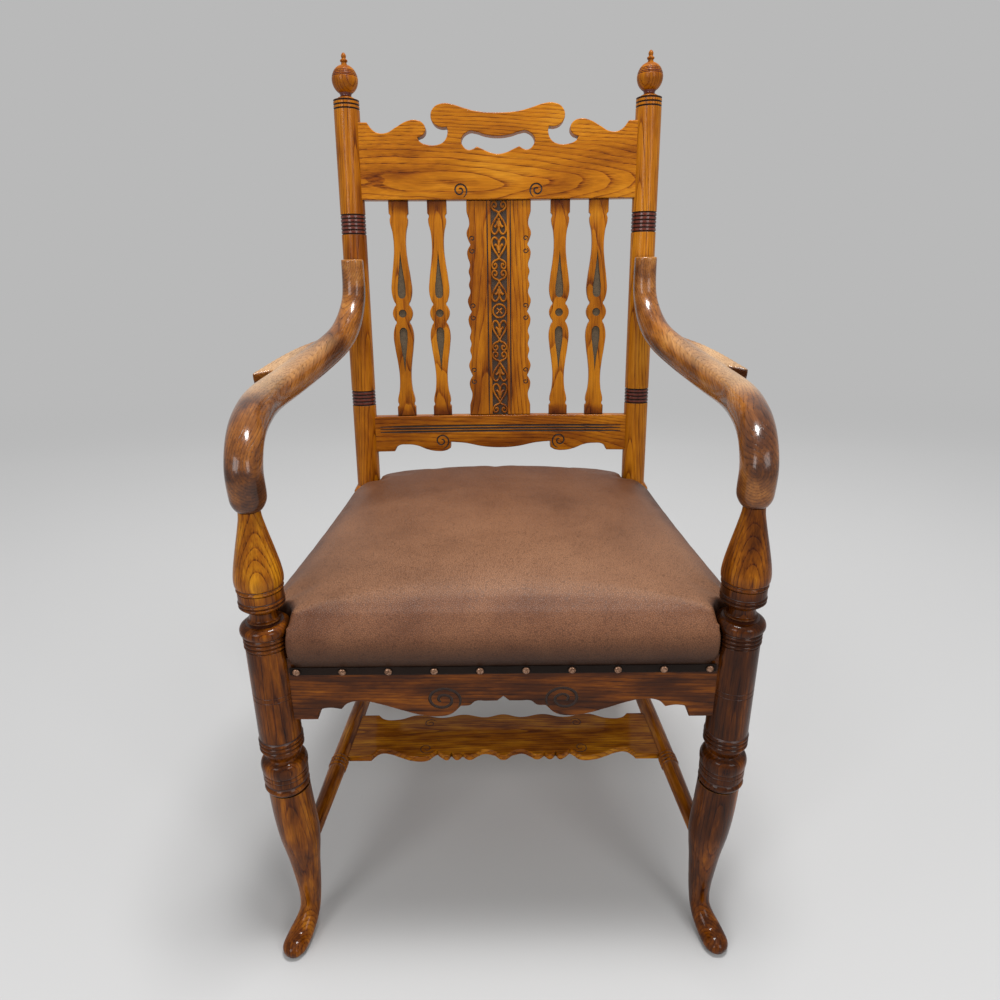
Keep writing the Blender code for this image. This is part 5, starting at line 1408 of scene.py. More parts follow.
def makeCentreSplat():
    look = splatLook
    top = plan["crestBottom"] - plan["fit"]
    bottom = plan["crestBottom"] - look["length"] + plan["fit"]
    middle = (top + bottom) / 2
    block, waist, bump = look["block"], look["waist"], look["bump"]
    pair = [
        (waist, 0.0300, soft), (0.0497, 0.0170, soft), (0.0483, 0.0095, soft),
        (0.0441, 0.0000, sharp), (0.0491, -0.0100, soft), (0.0488, -0.0175, soft),
        (waist, -0.0295, soft),
    ]
    bumps = [(bump, -0.0400, soft), (waist, -0.0500, soft), (bump, -0.0600, soft)]
    edge = [(block, top, sharp), (block, top - 0.0160, sharp)]
    for turn in (1, 0, -1):
        centre = middle + turn * look["pairPitch"]
        steps = pair if turn == -1 else pair + bumps
        edge += [(reach, centre + rise, kind) for reach, rise, kind in steps]
    edge += [(block, bottom + 0.0160, sharp), (block, bottom, sharp)]
    splat = fretted(
        "centreSplat", [edge + mirrored(edge)], look["thickness"], look["bevel"],
        [goldenOak, stripGround, grooveDark],
    )
    face = -look["thickness"] / 2
    strip = [
        (-look["stripHalf"], top - 0.0008, sharp), (look["stripHalf"], top - 0.0008, sharp),
        (look["stripHalf"], bottom + 0.0008, sharp), (-look["stripHalf"], bottom + 0.0008, sharp),
    ]
    booleanWith(splat, recessCutter("strip", strip, face, look["sunk"], stripGround), "DIFFERENCE")
    # a V line on each side sets off the raised fillets
    for side in (-1, 1):
        x = side * look["filletHalf"]
        line = [(x, bottom - 0.002 + (look["length"] + 0.004) * step / 30) for step in range(31)]
        carveLines(splat, [line], face, look["lineRadius"], 2)
    for side in (-1, 1):
        for height in look["scrolls"]:
            turn = 1 if look["scrolls"].index(height) % 2 == 0 else -1
            line = spiralLine(
                (look["scrollX"], height), 0.0044, 1.15, math.radians(-60 * turn), turn,
                1.0, 0.3, 24,
            )
            carveLines(splat, [[(x * side, z) for x, z in line]], face, look["scrollRadius"], 2)
    raised = []
    level = face + look["sunk"] - 0.0008
    order = (-1, 1, -1, 0, 1, -1, 1)  # hearts point up or down in turn, with a rose in the middle
    height = top - 0.0012
    for kind in order:
        size = look["rose"] if kind == 0 else look["unit"]
        centre = height - size / 2
        height -= size
        if kind == 0:
            ring = [
                (look["roseReach"] * math.cos(math.tau * step / 8), level,
                 centre + look["roseReach"] * math.sin(math.tau * step / 8))
                for step in range(8)
            ]
            raised.append(strandPiece("rose", ring, 0.0016, True))
            for step in range(4):
                turn = math.tau * (step + 0.5) / 4
                petal = [
                    (reach * math.cos(turn), level, centre + reach * math.sin(turn))
                    for reach in (0.0008, 0.0032, 0.0060)
                ]
                raised.append(strandPiece("rosePetal", petal, 0.0017))
            continue
        sign = 1 if kind < 0 else -1
        strands, petals = unitStrands(centre, sign, level)
        for line in strands:
            raised.append(strandPiece("strand", line, look["strand"]))
        for line in petals:
            raised.append(strandPiece("petal", line, look["strand"] * 1.35))
    joinPieces(splat, raised)
    sliceAcross(splat, 0.008)
    setInBack(splat)
    return splat


centreSplat = makeCentreSplat()
setWood(centreSplat, backFrame, (0.012, 0.040), 0.9)
setTone(centreSplat, "stain", lambda place, normal: (
    -0.04 if abs(place.x) < splatLook["stripHalf"] else 0.03 * math.copysign(1, place.x)
))
finishPiece(centreSplat, "golden_oak", ["centre_splat"], 32, True)
print("centre splat made")


# Front rail: shaped lower edge and two bold spirals
frontRailLook = {
    "drop": 0.0855, "thickness": 0.022, "bevel": 0.0012, "spiralX": 0.0707, "spiralZ": 0.369,
    "spiralReach": 0.0215, "grooveRadius": 0.0021,
}


def makeFrontRail():
    look = frontRailLook
    top = plan["railTop"]
    low = top - look["drop"]
    end = legX - 0.006
    profile = [
        (-end, top, sharp), (-end, low, sharp), (-0.2195, low, sharp),
        (-0.2160, low + 0.0125, soft), (-0.2060, low + 0.0160, soft),
        (-0.1905, low + 0.0142, sharp), (-0.1825, low + 0.0222, soft),
        (-0.1650, low + 0.0250, soft), (-0.1435, low + 0.0203, soft), (-0.1174, low + 0.0110, soft),
        (-0.0949, low + 0.0044, soft), (-0.0758, low + 0.0024, soft), (-0.0615, low + 0.0060, soft),
        (-0.0498, low + 0.0172, sharp), (-0.0395, low + 0.0182, soft),
        (-0.0321, low + 0.0238, soft), (-0.0200, low + 0.0240, soft),
        (-0.0070, low + 0.0242, sharp), (0, low + 0.0305, sharp),
    ]
    rail = fretted(
        "frontRail", [bothSides(profile)], look["thickness"], look["bevel"], [darkOak, grooveDark]
    )
    line = spiralLine(
        (-look["spiralX"], look["spiralZ"]), look["spiralReach"], 1.75, math.radians(-35), 1, 0.84
    )
    carveLines(rail, onBothSides(line), -look["thickness"] / 2, look["grooveRadius"])
    rail.data.transform(Matrix.Translation((0, legY, 0)))
    return rail


frontRail = makeFrontRail()
setWood(frontRail, woodAcross, (0.340, 0.270), 0.5)
setEvenTone(frontRail, -0.09)
finishPiece(frontRail, "dark_oak", ["front_rail"], 32, True)
print("front rail made")


# Stretchers: two turned rails and the flat shaped board between them
stretcherLook = {
    "height": 0.150, "frontInset": 0.020, "endRadius": 0.0100, "middleRadius": 0.0122,
    "boardFront": 0.1455, "boardDepth": 0.0956, "boardThickness": 0.010, "boardBevel": 0.0015,
    "ringLength": 0.020, "ringGap": 0.002, "sides": 40, "kneeRadius": 0.0240,
}
stretcherStart = Vector((legX - stretcherLook["frontInset"], legY, stretcherLook["height"]))
stretcherEnd = Vector((postX, rearLegY(stretcherLook["height"]), stretcherLook["height"]))
stretcherRun = stretcherEnd - stretcherStart


def makeSideStretcher():
    look = stretcherLook
    length = stretcherRun.length
    half = look["ringLength"] / 2
    ring = (look["boardFront"] - look["ringGap"] - half) * length / stretcherRun.y
    thick = look["middleRadius"]
    rows = [
        (look["endRadius"] - 0.0006, length - 0.0130, 0), (look["endRadius"], length - 0.0136, 0),
        (look["endRadius"] + 0.0002, length - 0.0400, 0.010),
        (thick - 0.0010, length * 0.76, 0.030), (thick, length * 0.52, 0.030),
        (thick, ring + half + 0.004, 0.002), (thick - 0.0007, ring + half + 0.0006, 0),
    ]
    third = look["ringLength"] / 3
    for index in range(3):
        start = ring + half - index * third
        rows += beadRows(start, start - third + 0.0008, thick - 0.0006, thick + 0.0010)
        rows += [(thick - 0.0010, start - third + 0.0003, 0)]
    rows += [
        (thick - 0.0003, ring - half - 0.004, 0.002),
        (look["endRadius"] + 0.0004, look["kneeRadius"] + 0.008, 0.020),
        (look["endRadius"], 0.0120, 0), (look["endRadius"] - 0.0006, 0.0114, 0),
    ]
    turn = Vector((0, 0, 1)).rotation_difference(stretcherRun).to_matrix().to_4x4()
    place = Matrix.Translation(stretcherStart) @ turn
    line = softLine(rows)
    rings = turnedRings([(point.x, point.y) for point in line], place, look["sides"])
    spans = [
        (ring + half - index * third - 0.0001, ring + half - index * third + 0.0009)
        for index in range(4)
    ]
    piece = loftRings(
        "sideStretcherRight", rings, [darkOak, fineGroove], bandRows(rings, place, spans)
    )
    setWood(piece, place, (0.015, 0.030), 0.2)
    setEvenTone(piece, 0.08)
    return piece


sideStretcher = makeSideStretcher()
finishPiece(sideStretcher, "dark_oak", ["side_stretcher_right"])
mirrorPiece(sideStretcher, "sideStretcherLeft", ["side_stretcher_left"])


def stretcherX(y):
    return stretcherStart.x + stretcherRun.x * (y - stretcherStart.y) / stretcherRun.y


def makeCrossBoard():
    look = stretcherLook
    front = legY + look["boardFront"]
    back = front + look["boardDepth"]
    end = stretcherX(front) - 0.0062
    frontEdge = [
        (-end, front, sharp), (-0.1959, front, sharp), (-0.1916, front + 0.0075, soft),
        (-0.1832, front + 0.0150, soft), (-0.1697, front + 0.0137, soft),
        (-0.1528, front + 0.0060, soft), (-0.1359, front - 0.0007, soft),
        (-0.1122, front - 0.0007, soft), (-0.1045, front + 0.0070, soft),
        (-0.0990, front + 0.0118, sharp), (-0.0911, front + 0.0037, soft), (-0.0835, front, soft),
        (-0.0776, front + 0.0075, sharp), (-0.0692, front, soft), (-0.0607, front + 0.0068, sharp),
        (-0.0505, front, soft), (-0.0379, front + 0.0075, soft), (-0.0290, front + 0.0125, soft),
        (-0.0134, front + 0.0088, sharp), (0, front - 0.0007, soft),
    ]
    backEdge = [
        (0, back, soft), (-0.0280, back - 0.0070, soft), (-0.0630, back, soft),
        (-0.0950, back - 0.0075, soft), (-0.1360, back - 0.0005, soft),
        (-0.1650, back - 0.0112, soft), (-0.1880, back - 0.0100, soft), (-0.1980, back, sharp),
        (-stretcherX(back) + 0.0062, back, sharp),
    ]
    loop = frontEdge + mirrored(frontEdge[:-1]) + mirrored(backEdge[1:]) + backEdge
    # lean the outline back so that its X and Y lie flat, the carved face up
    board = fretted(
        "crossBoard", [loop], look["boardThickness"], look["boardBevel"], [darkOak, grooveDark]
    )
    face = -look["boardThickness"] / 2
    lines = []
    for side in (-1, 1):
        low = spiralLine((0.1155, -0.068), 0.0115, 1.4, math.radians(200), 1, 1.0, 0.2, 36)
        high = spiralLine((0.1144, -0.010), 0.0100, 1.4, math.radians(160), -1, 1.0, 0.2, 36)
        lines += [[(x * side, y) for x, y in low], [(x * side, y) for x, y in high]]
    carveLines(board, lines, face, 0.0007)
    board.data.transform(leanForward.inverted())
    board.data.transform(Matrix.Translation((0, 0, look["height"])))
    return board


crossBoard = makeCrossBoard()
setWood(crossBoard, woodAcross, (0.170, 0.030), 0.8)
setEvenTone(crossBoard, 0.17)
finishPiece(crossBoard, "golden_oak", ["cross_stretcher"], 32, True)
print("stretchers made")


# The seat: stuffed over the rails, drawn in at the hem, notched round the legs
seatLook = {
    "hemOffset": 0.0021, "hemBottom": 0.4088, "bulge": 0.010, "crown": 0.514, "edge": 0.4740,
    "backRise": 0.018, "backCrown": 0.018, "voxel": 0.0045, "hideThickness": 0.0018,
    "notch": 0.0297, "pressure": 2.5, "cap": 0.004, "frames": 16, "frontRoll": 0.006,
    "cutHeights": (0.39, 0.56), "heldTo": 0.012,
}
sideStart = Vector((legX, legY, 0))
sideEnd = Vector((postX, postY, 0))
sideDirection = (sideEnd - sideStart).normalized()
sideOut = Vector((sideDirection.y, -sideDirection.x, 0))


def crossLines(pointA, alongA, pointB, alongB):
    bottom = alongA.x * alongB.y - alongA.y * alongB.x
    offset = pointB - pointA
    return pointA + alongA * ((offset.x * alongB.y - offset.y * alongB.x) / bottom)


def seatCorners(offset):
    outward = plan["railThickness"] / 2 + offset
    sidePoint = sideStart + sideOut * outward
    across = Vector((1, 0, 0))
    front = crossLines(sidePoint, sideDirection, Vector((0, legY - outward, 0)), across)
    back = crossLines(sidePoint, sideDirection, Vector((0, postY + outward, 0)), across)
    return front, back


def seatRing(offset, frontCorner, backCorner, sidePoints, cornerPoints):
    front, back = seatCorners(offset)
    corners = [
        Vector((-front.x, front.y)), Vector((front.x, front.y)),
        Vector((back.x, back.y)), Vector((-back.x, back.y)),
    ]
    points = []
    for index in range(4):
        start = corners[index]
        end = corners[(index + 1) % 4]
        direction = (end - start).normalized()
        before = (corners[index - 1] - start).normalized()
        corner = frontCorner if index < 2 else backCorner
        following = frontCorner if index in (3, 0) else backCorner
        first = start + direction * corner
        last = end - direction * following
        for step in range(1, cornerPoints + 1):
            share = step / (cornerPoints + 1)
            entry = start + before * corner
            points.append(
                entry * (1 - share) ** 2 + start * 2 * share * (1 - share) + first * share ** 2
            )
        for step in range(sidePoints + 1):
            points.append(first.lerp(last, step / sidePoints))
    return points


def acrossShare(x, y):
    front, back = seatCorners(0)
    shareY = (y - front.y) / (back.y - front.y)
    halfWidth = front.x + (back.x - front.x) * shareY
    return max(0.0, 1 - (x / halfWidth) ** 2)


def riseAt(x, y, height):
    look = seatLook
    front, back = seatCorners(0)
    shareY = min(1.0, max(0.0, (y - front.y) / (back.y - front.y)))
    shareZ = (height - look["hemBottom"]) / (look["edge"] - look["hemBottom"])
    lift = look["backRise"] + look["backCrown"] * acrossShare(x, y)
    return lift * shareY * max(0.0, shareZ) ** 1.5


def crownAt(x, y):
    look = seatLook
    front, back = seatCorners(0)
    shareY = (y - front.y) / (back.y - front.y)
    along = max(0.0, 4 * shareY * (1 - shareY))
    base = look["edge"] + (look["backRise"] + look["backCrown"] * acrossShare(x, y)) * shareY
    return base + (look["crown"] - base) * acrossShare(x, y) ** 0.70 * along ** 0.55


def domeLump():
    look = seatLook
    layers = [
        (look["hemOffset"], look["hemBottom"] - 0.006, 0.012, 0.012),
        (look["hemOffset"], 0.4188, 0.012, 0.014),
        (look["bulge"] * 0.72, look["edge"] * 0.900, 0.018, 0.026),
        (look["bulge"], look["edge"] * 0.938, 0.024, 0.040),
        (look["bulge"] * 0.66, look["edge"] * 0.974, 0.030, 0.056),
        (-0.004, look["edge"], 0.040, 0.072), (-0.013, look["edge"] + 0.004, 0.044, 0.078),
        (-0.032, None, 0.050, 0.084), (-0.075, None, 0.055, 0.080), (-0.120, None, 0.050, 0.060),
        (-0.165, None, 0.030, 0.030),
    ]
    rings = []
    frontY = seatCorners(0)[0].y
    for offset, height, corner, backCorner in layers:
        ring = []
        for point in seatRing(offset, corner, backCorner, 20, 6):
            if height is None:
                z = crownAt(point.x, point.y)
            else:
                z = height + riseAt(point.x, point.y, min(height, look["edge"]))
                # the front edge is stuffed firmer and stands higher
                firm = 1 - ease(point.y, frontY, frontY + 0.05)
                firm *= min(1.0, acrossShare(point.x, point.y) * 4)
                z += firm * look["frontRoll"] * ease(height, 0.455, 0.476)
            ring.append((point.x, point.y, z))
        rings.append(ring)
    # ease between the layers, so that the shoulder is round
    count = len(rings[0])
    steps = 6
    eased = [easedPath([ring[side] for ring in rings], steps) for side in range(count)]
    points = [eased[side][row] for row in range(len(eased[0])) for side in range(count)]
    faces = []
    for row in range(len(eased[0]) - 1):
        for side in range(count):
            other = (side + 1) % count
            faces.append((
                row * count + side, row * count + other,
                (row + 1) * count + other, (row + 1) * count + side,
            ))
    last = (len(eased[0]) - 1) * count
    middle = sum((points[last + side] for side in range(count)), Vector((0, 0, 0))) / count
    points.append(Vector((middle.x, middle.y, crownAt(middle.x, middle.y))))
    for side in range(count):
        faces.append((last + side, last + (side + 1) % count, len(points) - 1))
    faces.append(tuple(reversed(range(count))))
    lump = meshFromLists("seatLeather", points, faces, [brownLeather])
    fixNormals(lump)
    return lump


def makeSeat():
    look = seatLook
    lump = domeLump()
    for side in (-1, 1):
        column = loftRings("legSpace", turnedRings(
            [(look["notch"], height) for height in look["cutHeights"]],
            Matrix.Translation((side * legX, legY, 0)), 48,
        ), [brownLeather])
        booleanWith(lump, column, "DIFFERENCE")
        legSide = side * legX
        postSide = side * postX
        half = postLook["blockHalf"] + 0.0015
        for left, right, front, back in (
            (legSide + side * 0.06, legSide - side * 0.012, legY - 0.06, legY - 0.002),
            (postSide - half, postSide + half, postY - half, postY + half + 0.04),
        ):
            corners = ((left, front), (right, front), (right, back), (left, back))
            space = loftRings("cornerSpace", [
                [Vector((x, y, z)) for x, y in corners] for z in look["cutHeights"]
            ], [brownLeather])
            booleanWith(lump, space, "DIFFERENCE")
    keepLargest(lump)
    remesh = lump.modifiers.new("even", "REMESH")
    remesh.mode = "VOXEL"
    remesh.voxel_size = look["voxel"]
    smooth = lump.modifiers.new("soften", "SMOOTH")
    smooth.factor = 0.5
    smooth.iterations = 3
    bakeModifiers(lump)
    return lump


def keepLargest(piece):
    bm = bmesh.new()
    bm.from_mesh(piece.data)
    islands = []
    seen = set()
    for start in bm.verts:
        if start in seen:
            continue
        island = {start}
        waiting = [start]
        while waiting:
            for edge in waiting.pop().link_edges:
                for vertex in edge.verts:
                    if vertex not in island:
                        island.add(vertex)
                        waiting.append(vertex)
        seen |= island
        islands.append(island)
    islands.sort(key=len)
    for island in islands[:-1]:
        bmesh.ops.delete(bm, geom=list(island), context="VERTS")
    bm.to_mesh(piece.data)
    bm.free()


def puffUp(piece):
    # the stuffing pushes the hide out a little between its fixed hem and the frame
    look = seatLook
    before = np.zeros(len(piece.data.vertices) * 3)
    piece.data.vertices.foreach_get("co", before)
    before = before.reshape(-1, 3)
    group = piece.vertex_groups.new(name="hem")
    for index, point in enumerate(before):
        weight = min(1.0, max(0.0, 1 - (point[2] - plan["railTop"]) / look["heldTo"]))
        if weight > 0:
            group.add([index], weight, "REPLACE")
    cloth = piece.modifiers.new("cloth", "CLOTH")
    settings = cloth.settings
    settings.use_pressure = True
    settings.uniform_pressure_force = look["pressure"]
    settings.effector_weights.gravity = 0
    settings.vertex_group_mass = "hem"
    settings.tension_stiffness = 40
    settings.compression_stiffness = 40
    settings.bending_stiffness = 6
    settings.mass = 0.6
    cloth.collision_settings.use_collision = False
    scene = bpy.context.scene
    for number in range(1, look["frames"] + 1):
        scene.frame_set(number)
    bakeModifiers(piece)
    scene.frame_set(1)
    after = np.zeros(len(piece.data.vertices) * 3)
    piece.data.vertices.foreach_get("co", after)
    after = after.reshape(-1, 3)
    step = after - before
    length = np.linalg.norm(step, axis=1, keepdims=True)
    step *= np.minimum(1, look["cap"] / np.maximum(length, 1e-9))
    piece.data.vertices.foreach_set("co", (before + step).ravel())
    piece.data.update()


def openHide(piece):
    # keep the skin above the hem line, give it the hide's thickness
    look = seatLook
    bm = bmesh.new()
    bm.from_mesh(piece.data)
    bmesh.ops.bisect_plane(
        bm, geom=bm.verts[:] + bm.edges[:] + bm.faces[:], dist=0.00001,
        plane_co=(0, 0, look["hemBottom"]), plane_no=(0, 0, -1), clear_outer=True,
    )
    bm.to_mesh(piece.data)
    bm.free()
    thickness = piece.modifiers.new("hide", "SOLIDIFY")
    thickness.thickness = look["hideThickness"]
    thickness.offset = -1
    thickness.use_even_offset = False
    subdivision = piece.modifiers.new("supple", "SUBSURF")
    subdivision.levels = 1
    subdivision.render_levels = 1
    bakeModifiers(piece)


seatLeather = makeSeat()
puffUp(seatLeather)
openHide(seatLeather)
finishPiece(seatLeather, "brown_leather", ["seat_leather", "seat_stuffing"], 60)
print("seat made")


# Border strips over the hem, with their nails
borderLook = {
    "bottom": 0.4068, "height": 0.0100, "thickness": 0.0020, "nailRadius": 0.0045,
    "nailHeight": 0.0026, "nailSpacing": 0.0526, "endRoom": 0.015, "nailSides": 24,
}
borderOffset = plan["railThickness"] / 2 + 0.0018 + 2 * plan["fit"]


def stripPiece(name, start, end, outward):
    # a strip with rounded edges that dips a little between its nails
    look = borderLook
    run = end - start
    count = 60
    section = [
        (0.0, 0.0), (0.62, 0.0), (0.90, 0.06), (1.0, 0.22), (1.0, 0.78), (0.90, 0.94), (0.62, 1.0),
        (0.0, 1.0),
    ]
    rings = []
    for step in range(count + 1):
        base = start + run * step / count
        turn = math.tau * run.length * (step / count - 0.5) / look["nailSpacing"]
        reach = look["thickness"] * (0.88 + 0.12 * math.cos(turn))
        rings.append([
            base + outward * depth * reach + Vector((0, 0, look["bottom"] + rise * look["height"]))
            for depth, rise in section
        ])
    return loftRings(name, rings, [borderLeather, nailBronze])


def nailPiece(name, place, outward, twist):
    # a domed head with a thin skirt, each set a little differently
    look = borderLook
    tilt = Matrix.Rotation(math.radians(3) * math.sin(twist * 2.3), 4, "X")
    matrix = Matrix.Translation(place) @ (
        Vector((0, 0, 1)).rotation_difference(outward).to_matrix().to_4x4()
    ) @ tilt
    rows = []
    steps = 8
    for step in range(steps + 1):
        angle = math.pi / 2 * (1 - step / steps)
        rows.append((
            max(0.0002, look["nailRadius"] * math.cos(angle)),
            look["nailHeight"] * (0.12 + 0.88 * math.sin(angle)),
        ))
    rows.append((look["nailRadius"], 0.0))
    rings = turnedRings(rows, matrix, look["nailSides"])
    nail = loftRings(name, rings, [borderLeather, nailBronze])
    setSlot(nail, 1)
    return nail


def spread(room, spacing):
    count = math.floor(room / spacing) + 1
    return [(index - (count - 1) / 2) * spacing for index in range(count)]


def makeBorders():
    look = borderLook
    nailZ = look["bottom"] + look["height"] / 2
    out = Vector((0, -1, 0))
    reach = legX - legLook["columnRadius"] - 0.0006
    faceY = legY - borderOffset
    front = stripPiece(
        "borderStripFront", Vector((-reach, faceY, 0)), Vector((reach, faceY, 0)), out
    )
    finishPiece(front, "border_leather", ["border_strip_front"], 50)
    room = 2 * (legX - legLook["columnRadius"]) - look["endRoom"]
    for index, x in enumerate(spread(room, look["nailSpacing"])):
        place = Vector((x, faceY - look["thickness"] - plan["fit"], nailZ))
        nail = nailPiece("borderNail" + str(index + 1), place, out, index)
        finishPiece(nail, "nail_bronze", ["border_nail_front_" + str(index + 1)], 50)
    # the side and back nails are one piece with their strip and sit a little in its face
    sunk = look["thickness"] - 0.0003
    backReach = postX - postLook["blockHalf"] - 0.002
    backY = postY + borderOffset
    back = stripPiece(
        "borderStripBack", Vector((-backReach, backY, 0)), Vector((backReach, backY, 0)),
        Vector((0, 1, 0)),
    )
    nails = [
        nailPiece(
            "backNail", Vector((x, backY + sunk, nailZ)), Vector((0, 1, 0)), index,
        )
        for index, x in enumerate(spread(2 * backReach - look["endRoom"], look["nailSpacing"]))
    ]
    joinPieces(back, nails)
    finishPiece(back, "border_leather", ["border_strip_back"], 50)
    length = (sideEnd - sideStart).length
    sideFrom = legLook["columnRadius"] + 0.004
    sideTo = length - postLook["blockHalf"] - 0.004
    begin = sideStart + sideDirection * sideFrom + sideOut * borderOffset
    finish = sideStart + sideDirection * sideTo + sideOut * borderOffset
    side = stripPiece("borderStripRight", begin, finish, sideOut)
    middle = (begin + finish) / 2 + sideOut * sunk
    room = sideTo - sideFrom - look["endRoom"]
    nails = [
        nailPiece(
            "sideNail", middle + sideDirection * offset + Vector((0, 0, nailZ)), sideOut, index
        )
        for index, offset in enumerate(spread(room, look["nailSpacing"]))
    ]
    joinPieces(side, nails)
    finishPiece(side, "border_leather", ["border_strip_right"], 50)
    mirrorPiece(side, "borderStripLeft", ["border_strip_left"])


makeBorders()
print("border strips and nails made")


# Webbing, woven over and under, and the hessian above it
webLook = {"width": 0.050, "thickness": 0.0016, "count": 4, "margin": 0.055, "steps": 60}


def strapPiece(name, start, end, across, crossings, firstUp, node):
    look = webLook
    base = plan["railTop"] + plan["fit"] + look["thickness"] + plan["fit"] / 2
    swing = look["thickness"] / 2 + plan["fit"] / 2
    run = end - start
    rings = []
    for step in range(look["steps"] + 1):
        share = step / look["steps"]
        place = start + run * share
        distance = run.length * share
        lift = 0.0
        for index, crossing in enumerate(crossings):
            sign = 1 if (index % 2 == 0) == firstUp else -1
            away = abs(distance - crossing) / (look["width"] * 0.75)
            if away < 1:
                lift += sign * min(1.0, 3.0 * (1 - away)) if away > 0.66 else sign
        z = base + swing * max(-1.0, min(1.0, lift))
        rings.append([
            place + across * side * look["width"] / 2
            + Vector((0, 0, z + level * look["thickness"] / 2))
            for side, level in ((-1, -1), (1, -1), (1, 1), (-1, 1))
        ])
    strap = loftRings(name, rings, [juteWebbing])
    finishPiece(strap, "jute_webbing", [node], 40)


def makeWebbing():
    look = webLook
    front, back = seatCorners(-0.004)
    room = back.y - front.y - look["margin"] * 2
    rows = [
        front.y + look["margin"] + room * (index + 0.5) / look["count"]
        for index in range(look["count"])
    ]
    columns = [
        (index - (look["count"] - 1) / 2) * look["width"] * 1.5 for index in range(look["count"])
    ]
    for index, x in enumerate(columns):
        strapPiece(
            "webLengthwise" + str(index + 1), Vector((x, front.y, 0)), Vector((x, back.y, 0)),
            Vector((1, 0, 0)), [y - front.y for y in rows], index % 2 == 0,
            "webbing_lengthwise_" + str(index + 1),
        )
    for index, y in enumerate(rows):
        share = (y + look["width"] / 2 - front.y) / (back.y - front.y)
        reach = front.x + (back.x - front.x) * share
        strapPiece(
            "webCrosswise" + str(index + 1), Vector((-reach, y, 0)), Vector((reach, y, 0)),
            Vector((0, 1, 0)), [x + reach for x in columns], index % 2 == 1,
            "webbing_crosswise_" + str(index + 1),
        )


makeWebbing()


def makeHessian():
    look = {"level": 0.4325, "thickness": 0.0010, "grid": 30}
    front, back = seatCorners(-0.006)
    points = []
    for level in (0, look["thickness"]):
        for row in range(look["grid"] + 1):
            y = front.y + (back.y - front.y) * row / look["grid"]
            half = front.x + (back.x - front.x) * row / look["grid"]
            inset = 0.030 if row < 3 or row > look["grid"] - 4 else 0.0
            for column in range(look["grid"] + 1):
                x = (half - inset) * (2 * column / look["grid"] - 1)
                points.append(Vector((x, y, look["level"] + level)))
    count = look["grid"] + 1
    faces = []
    for level in (0, 1):
        base = level * count * count
        for row in range(look["grid"]):
            for column in range(look["grid"]):
                a = base + row * count + column
                faces.append((a, a + 1, a + count + 1, a + count))
    border = list(range(count))
    border += [row * count + count - 1 for row in range(1, count)]
    border += [(count - 1) * count + column for column in range(count - 2, -1, -1)]
    border += [row * count for row in range(count - 2, 0, -1)]
    for index, a in enumerate(border):
        b = border[(index + 1) % len(border)]
        faces.append((a, b, b + count * count, a + count * count))
    sheet = meshFromLists("seatHessian", points, faces, [hessianCloth])
    fixNormals(sheet)
    finishPiece(sheet, "hessian", ["seat_canvas"], 40)


makeHessian()
print("webbing and hessian made")


# Nodes that keep their CAD shape: rails, corner blocks and dowels get wood, all but the dowels soft
# arrises
carried = {
    "side_rail_left": railOakY, "side_rail_right": railOakY, "back_rail": backRailOak,
    "corner_block_front_left": hiddenOak, "corner_block_front_right": hiddenOak,
    "corner_block_back_left": hiddenOak, "corner_block_back_right": hiddenOak,
    "arm_dowel_left": hiddenOak, "arm_dowel_right": hiddenOak,
}
for node, material in carried.items():
    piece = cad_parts[node]
    piece.data.materials.clear()
    piece.data.materials.append(material)
    if not node.startswith("arm_dowel"):
        arris = piece.modifiers.new("soft arris", "BEVEL")
        arris.width = 0.0012
        arris.segments = 2
        arris.limit_method = "ANGLE"
        arris.angle_limit = math.radians(40)
print("carried nodes finished")


# Studio: a pale floor that runs back into a grey wall, large soft lamps and the photo's camera
stageLook = {
    "nearGrey": "C4C4C4", "farGrey": "E4E4E4", "wallGrey": "B9B9B9", "worldLight": 0.44,
    "fadeFrom": 0.9, "fadeTo": 3.2,
}


def seenDirectly(tree):
    # 1 for what the camera sees, also in a reflection or through glass
    rays = addNode(tree, "LightPath").node.outputs
    seen = rays["Is Camera Ray"]
    for kind in ("Is Glossy Ray", "Is Transmission Ray"):
        seen = addNode(tree, "Math", {0: seen, 1: rays[kind]}, operation="ADD", use_clamp=True)
    return seen


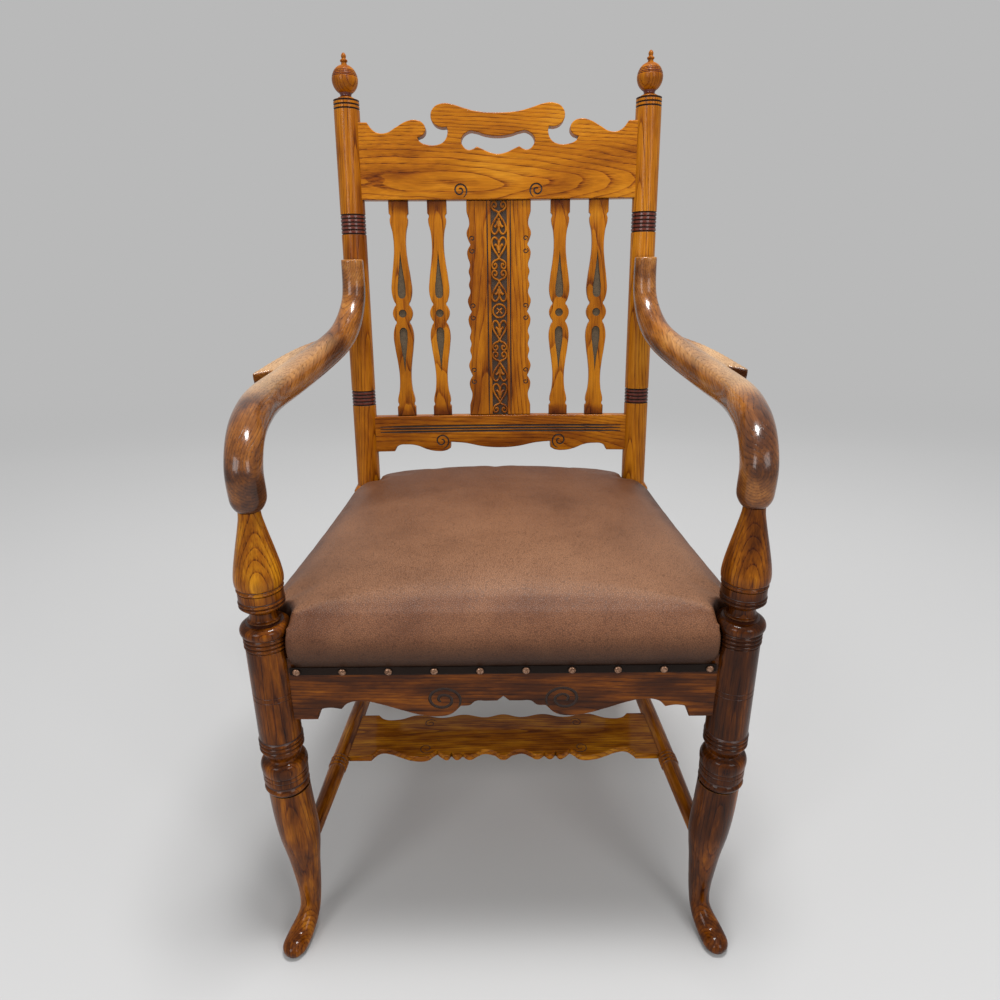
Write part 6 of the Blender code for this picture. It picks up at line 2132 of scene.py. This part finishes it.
def makeStage():
    bpy.ops.mesh.primitive_plane_add(size=24, location=(0, 4, 0))
    floor = bpy.context.object
    floor.name = "studioFloor"
    material, tree, shader = newMaterial("paintedFloor")
    place = addNode(tree, "NewGeometry", None, "Position")
    squeezed = addNode(tree, "VectorMath", {0: place, 1: (0.45, 1.0, 0.0)}, operation="MULTIPLY")
    depth = addNode(tree, "VectorMath", {0: squeezed}, "Value", operation="LENGTH")
    fade = addNode(
        tree, "MapRange",
        {0: depth, 1: stageLook["fadeFrom"], 2: stageLook["fadeTo"], 3: 0.0, 4: 1.0},
        interpolation_type="SMOOTHSTEP",
    )
    # painted light: the floor's colour lightens with distance from the chair, to make up for the
    # lamps' falloff
    far = addNode(tree, "MapRange", {0: depth, 1: 0.3, 2: 2.0, 3: 0.0, 4: 1.0})
    fillInputs(shader, {
        "Base Color": addNode(
            tree, "Mix", {0: far, 6: stageLook["nearGrey"], 7: stageLook["farGrey"]}, 2,
            data_type="RGBA",
        ),
        "Roughness": 0.9,
        "Specular IOR Level": 0.0,
    })
    # the floor fades into the wall's grey, so that no edge shows between them
    wall = addNode(tree, "Emission", {0: stageLook["wallGrey"], 1: 1.0})
    share = addNode(tree, "Math", {0: fade, 1: seenDirectly(tree)}, operation="MULTIPLY")
    mix = addNode(tree, "MixShader", {0: share, 1: shader.outputs[0], 2: wall})
    fillInputs(tree.nodes["Material Output"], {"Surface": mix})
    floor.data.materials.append(material)


def makeLamp(name, place, target, size, power):
    lamp = bpy.data.lights.new(name, "AREA")
    lamp.shape = "RECTANGLE"
    lamp.size = size[0]
    lamp.size_y = size[1]
    lamp.energy = power
    holder = newPiece(name, lamp)
    holder.location = place
    holder.rotation_euler = (Vector(target) - Vector(place)).to_track_quat("-Z", "Y").to_euler()


def makeWorld():
    world = bpy.data.worlds.new("studioAir")
    bpy.context.scene.world = world
    world.use_nodes = True
    tree = world.node_tree
    tree.nodes.clear()
    light = addNode(tree, "Background", {"Color": "FFFFFF", "Strength": stageLook["worldLight"]})
    wall = addNode(tree, "Background", {"Color": stageLook["wallGrey"], "Strength": 1.0})
    mix = addNode(tree, "MixShader", {0: seenDirectly(tree), 1: light, 2: wall})
    output = tree.nodes.new("ShaderNodeOutputWorld")
    fillInputs(output, {"Surface": mix})


makeStage()
makeWorld()
makeLamp("softboxLeft", (-1.5, -2.3, 1.9), (0, 0, 0.6), (1.0, 1.4), 24)
makeLamp("softboxRight", (1.5, -2.3, 1.9), (0, 0, 0.6), (1.0, 1.4), 19)
makeLamp("overhead", (0.18, -0.20, 2.9), (0, 0, 0.3), (0.6, 0.6), 57)

cameraData = bpy.data.cameras.new("photoCamera")
cameraData.lens = 26.0
cameraData.sensor_width = 36.0
cameraData.clip_start = 0.05
cameraData.clip_end = 60.0
camera = newPiece("photoCamera", cameraData)
camera.matrix_world = (
    Matrix.Translation((-0.0018, legY - 0.717, 0.89))
    @ Matrix.Rotation(math.radians(90 - 21), 4, "X")
    @ Matrix.Rotation(math.radians(-0.52), 4, "Z")
)
bpy.context.scene.camera = camera
bpy.context.scene.view_settings.view_transform = "Standard"
print("stage, lamps and camera ready")
